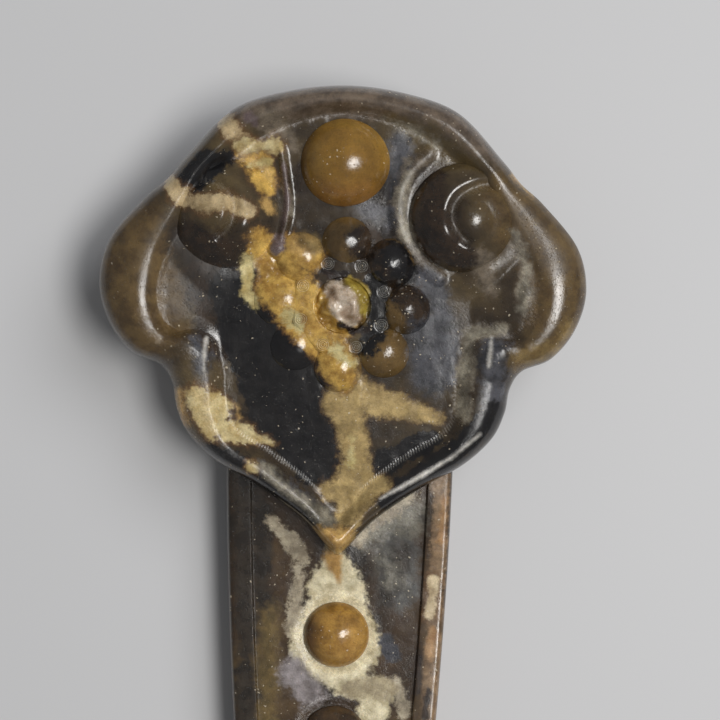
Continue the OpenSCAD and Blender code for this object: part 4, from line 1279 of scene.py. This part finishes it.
def shaft_piece():
    """The whole shaft with its carving."""
    pts, top_share, rise, cold = read_mesh(shaft_mesh, "top_share", "rise", "frost")
    upper = (top_share > 0.5) & (rise > -0.9)
    for by in boss_ys:
        gap = distance_to(pts, 0, by) - boss_r
        pts[:, 2] += np.where(upper, -0.4 * (1 - step(gap, 0.0, 1.6)), 0)
        cold = np.where(upper, np.maximum(cold, 0.9 * hump(gap - 0.8, 2.2)), cold)
    pts[:, 2] += np.where(upper, 0.08 * rough(pts, 8, 11) + 0.03 * rough(pts, 2.2, 12), 0)
    for place_plate, w, l in ((on_head, head_w, head_len), (on_tail, tail_w, tail_len)):
        under_plate = place_plate(level(cloud_loop(6), w, l, 0.08, 0.0))
        covered = inside(pts, under_plate[:, :2])
        plane = np.polyfit(under_plate[:, 1], under_plate[:, 2], 1)
        pts[:, 2] = np.where(covered, np.minimum(pts[:, 2], np.polyval(plane, pts[:, 1]) - 0.02), pts[:, 2])
    edge = on_head(level(cloud_loop(4), head_w, head_len, 0.0, 0.0))[:, :2]
    near = upper & (pts[:, 1] > head_tip_y - 9)
    comb = np.zeros(len(pts))
    comb[near] = hump(distance_to_path(pts[near], np.vstack([edge, edge[:1]])), 8.0)
    comb *= np.where(pts[:, 0] > 2, 1.0, 0.35)
    return dress("shaft_carved", shaft_mesh, pts, *shaft_finish, frost=np.maximum(cold, 0.6 * comb))


if volume(shaft_mesh, read_mesh(shaft_mesh)[0]) < 0:
    shaft_mesh.flip_normals()
loft = show("loft", shaft_mesh.copy())
shaft = shaft_piece()

# %% [markdown]
# Shaft bosses: nine domes in a row that follows the shaft's arched field. They could be placed by the same
# formula as the shaft, but a ray needs no formula: it is shot down on the shaft from each point of a
# straight line, and the stone is set where it lands, square to the surface.

# %% The row of bosses
boss_sizes = {
    "Bosses": bosses, "First Y": boss_first_y, "Last Y": boss_last_y, "Boss Radius": boss_r * 0.99,
    "Boss Height": boss_h, "Fullness": 0.72, "Seat Depth": seat_depth, "Lumps": 0.4, "Seed": 31, "Shaft": loft,
    "Stone": stone_amber,
}


def boss_tree():
    """A row of domed stones set on the shaft's surface."""
    tree, size = new_tree("boss_row", boss_sizes)
    line = node(tree, "GeometryNodeMeshLine", mode="END_POINTS", in_Count=size["Bosses"],
                in_Start_Location=xyz(tree, y=size["First Y"]), in_Offset=xyz(tree, y=size["Last Y"]))
    target = node(tree, "GeometryNodeObjectInfo", in_Object=size["Shaft"])["Geometry"]
    above = xyz(tree, y=position_parts(tree)[1], z=80.0)
    ray = node(tree, "GeometryNodeRaycast", in_Target_Geometry=target, in_Source_Position=above,
               in_Ray_Direction=(0, 0, -1), in_Ray_Length=200.0)
    line = node(tree, "GeometryNodeSetPosition", in_Geometry=line, in_Position=ray["Hit Position"])
    upright = node(tree, "FunctionNodeAlignRotationToVector", axis="Z", in_Vector=ray["Hit Normal"])
    spin = turn_about_z(tree, chance(tree, 0.0, full_turn, size["Seed"]))
    turned = node(tree, "FunctionNodeRotateRotation", rotation_space="LOCAL", in_0=upright, in_1=spin)
    boss = add_stone(tree, size, size["Boss Radius"], size["Boss Height"], 5.0)
    made = node(tree, "GeometryNodeInstanceOnPoints", in_Points=line, in_Instance=boss, in_Rotation=turned)
    return end_tree(tree, made, size["Stone"])


boss_row = stone_pieces("shaft_bosses_polished", grown(boss_tree(), boss_sizes), amber_finish, lambda p: p, 31, 0.2)
bpy.data.objects.remove(loft)

# %% [markdown]
# Tail plate: the head's shape again, much smaller, with a hole for a cord at its tip. It isn't in the
# photograph and follows the type. The rings that made the head make it too, and this time they end in the
# rim of the hole.

# %% Tail plate
def tail_plate_piece():
    """The tail plate, whose rings close in on the cord hole."""
    loop = cloud_loop(8)
    middle = (0, cord_hole_y)
    rings, shares = plate_rings(loop, tail_w, tail_len, tail_field_t, tail_rim_h, middle, 40, cord_hole_r)
    pts, shr = rings.reshape(-1, 3), shares.reshape(-1)
    gap = distance_to(pts, 0, tail_boss_y) - tail_boss_r
    pts[:, 2] += np.where(shr > 0.75, -0.35 * (1 - step(gap, 0.0, 1.2)), 0)
    pts[:, 2] += np.where(shr > 0.15, 0.06 * rough(pts, 6, 21), 0)
    hole = distance_to(pts, 0, cord_hole_y) - cord_hole_r
    pts[:, 2] += np.where(shr > 1, -0.3 * (1 - step(hole, 0, 0.5)), 0)
    cold = np.maximum(0.55 * step(shr, 0.8, 1.05), 0.9 * step(shr, 0.72, 0.9) * (1 - step(shr, 1.0, 1.15)))
    faces = ring_faces(len(rings), len(loop), closed=True)
    return mesh_piece("tail_plate_carved", on_tail(pts), faces, *shaft_finish, frost=cold)


tail_plate = tail_plate_piece()

# %% [markdown]
# The dowels are brass pins that hold both plates on the shaft. They hide inside the stone, so they keep the
# model's own shape, and only get the fine rings that a lathe leaves on turned brass.

# %% Dowels
def turned_brass():
    """Brass with the fine rings of a lathe."""
    material, tree = new_material("brass_pin")
    grain = noise(tree, node(tree, "ShaderNodeTexCoord")["Object"], 2500.0, 3.0)
    tone = mix_colour(tree, grain, srgb(196, 156, 84), srgb(226, 190, 120))
    shade(tree, in_Base_Color=tone, in_Roughness=remap(tree, grain, 0.0, 1.0, 0.25, 0.45), in_Metallic=1.0)
    return material


brass = turned_brass()
for name in ("head_dowels", "tail_dowels"):
    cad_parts[name].data.materials.clear()
    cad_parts[name].data.materials.append(brass)

# %% [markdown]
# The floor is a plain pale sheet under the scepter, wide enough to fill the picture. A little roughness
# keeps the lamp from being mirrored in it.

# %% Floor
floor_mesh = bpy.data.meshes.new("floor")
reach, floor_gap = 3000 * MM, 0.05 * MM
corners = [(-reach, -reach, 0), (reach, -reach, 0), (reach, reach, 0), (-reach, reach, 0)]
floor_mesh.from_pydata(corners, [], [(0, 1, 2, 3)])
floor = show("floor", floor_mesh)
floor.location.z = -floor_gap
floor_material, floor_tree = new_material("pale_floor")
shade(floor_tree, in_Base_Color=srgb(206, 206, 207), in_Roughness=0.55)
floor.data.materials.append(floor_material)

# %% [markdown]
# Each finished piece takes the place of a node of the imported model. The ring of petals and the row of
# bosses each take the place of several. Nothing on a ruyi moves, so all pieces ride on its one body.

# %% Each piece rides on the one body and stands for its node
pieces = {
    head_plate: ("head_plate", "stone_dark"), pearl: ("pearl", "stone_olive"),
    left_scroll: ("left_cloud_scroll", "stone_olive"), right_scroll: ("right_cloud_scroll", "stone_olive"),
    flower_disc: ("flower_disc", "stone_dark"), flower_centre: ("flower_centre", "stone_cream"),
    shaft: ("shaft", "stone_dark"), tail_plate: ("tail_plate", "stone_dark"), tail_boss: ("tail_boss", "stone_amber"),
}
for piece, (stands_for, _) in pieces.items():
    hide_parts(stands_for)
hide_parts(*[f"flower_petal_{i + 1}" for i in range(petals)])
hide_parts(*[f"shaft_boss_{i + 1}" for i in range(bosses)])
pieces.update({petal_ring: ("", "stone_olive"), boss_row: ("", "stone_amber")})
for piece, (_, slot_name) in pieces.items():
    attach(piece, "root")
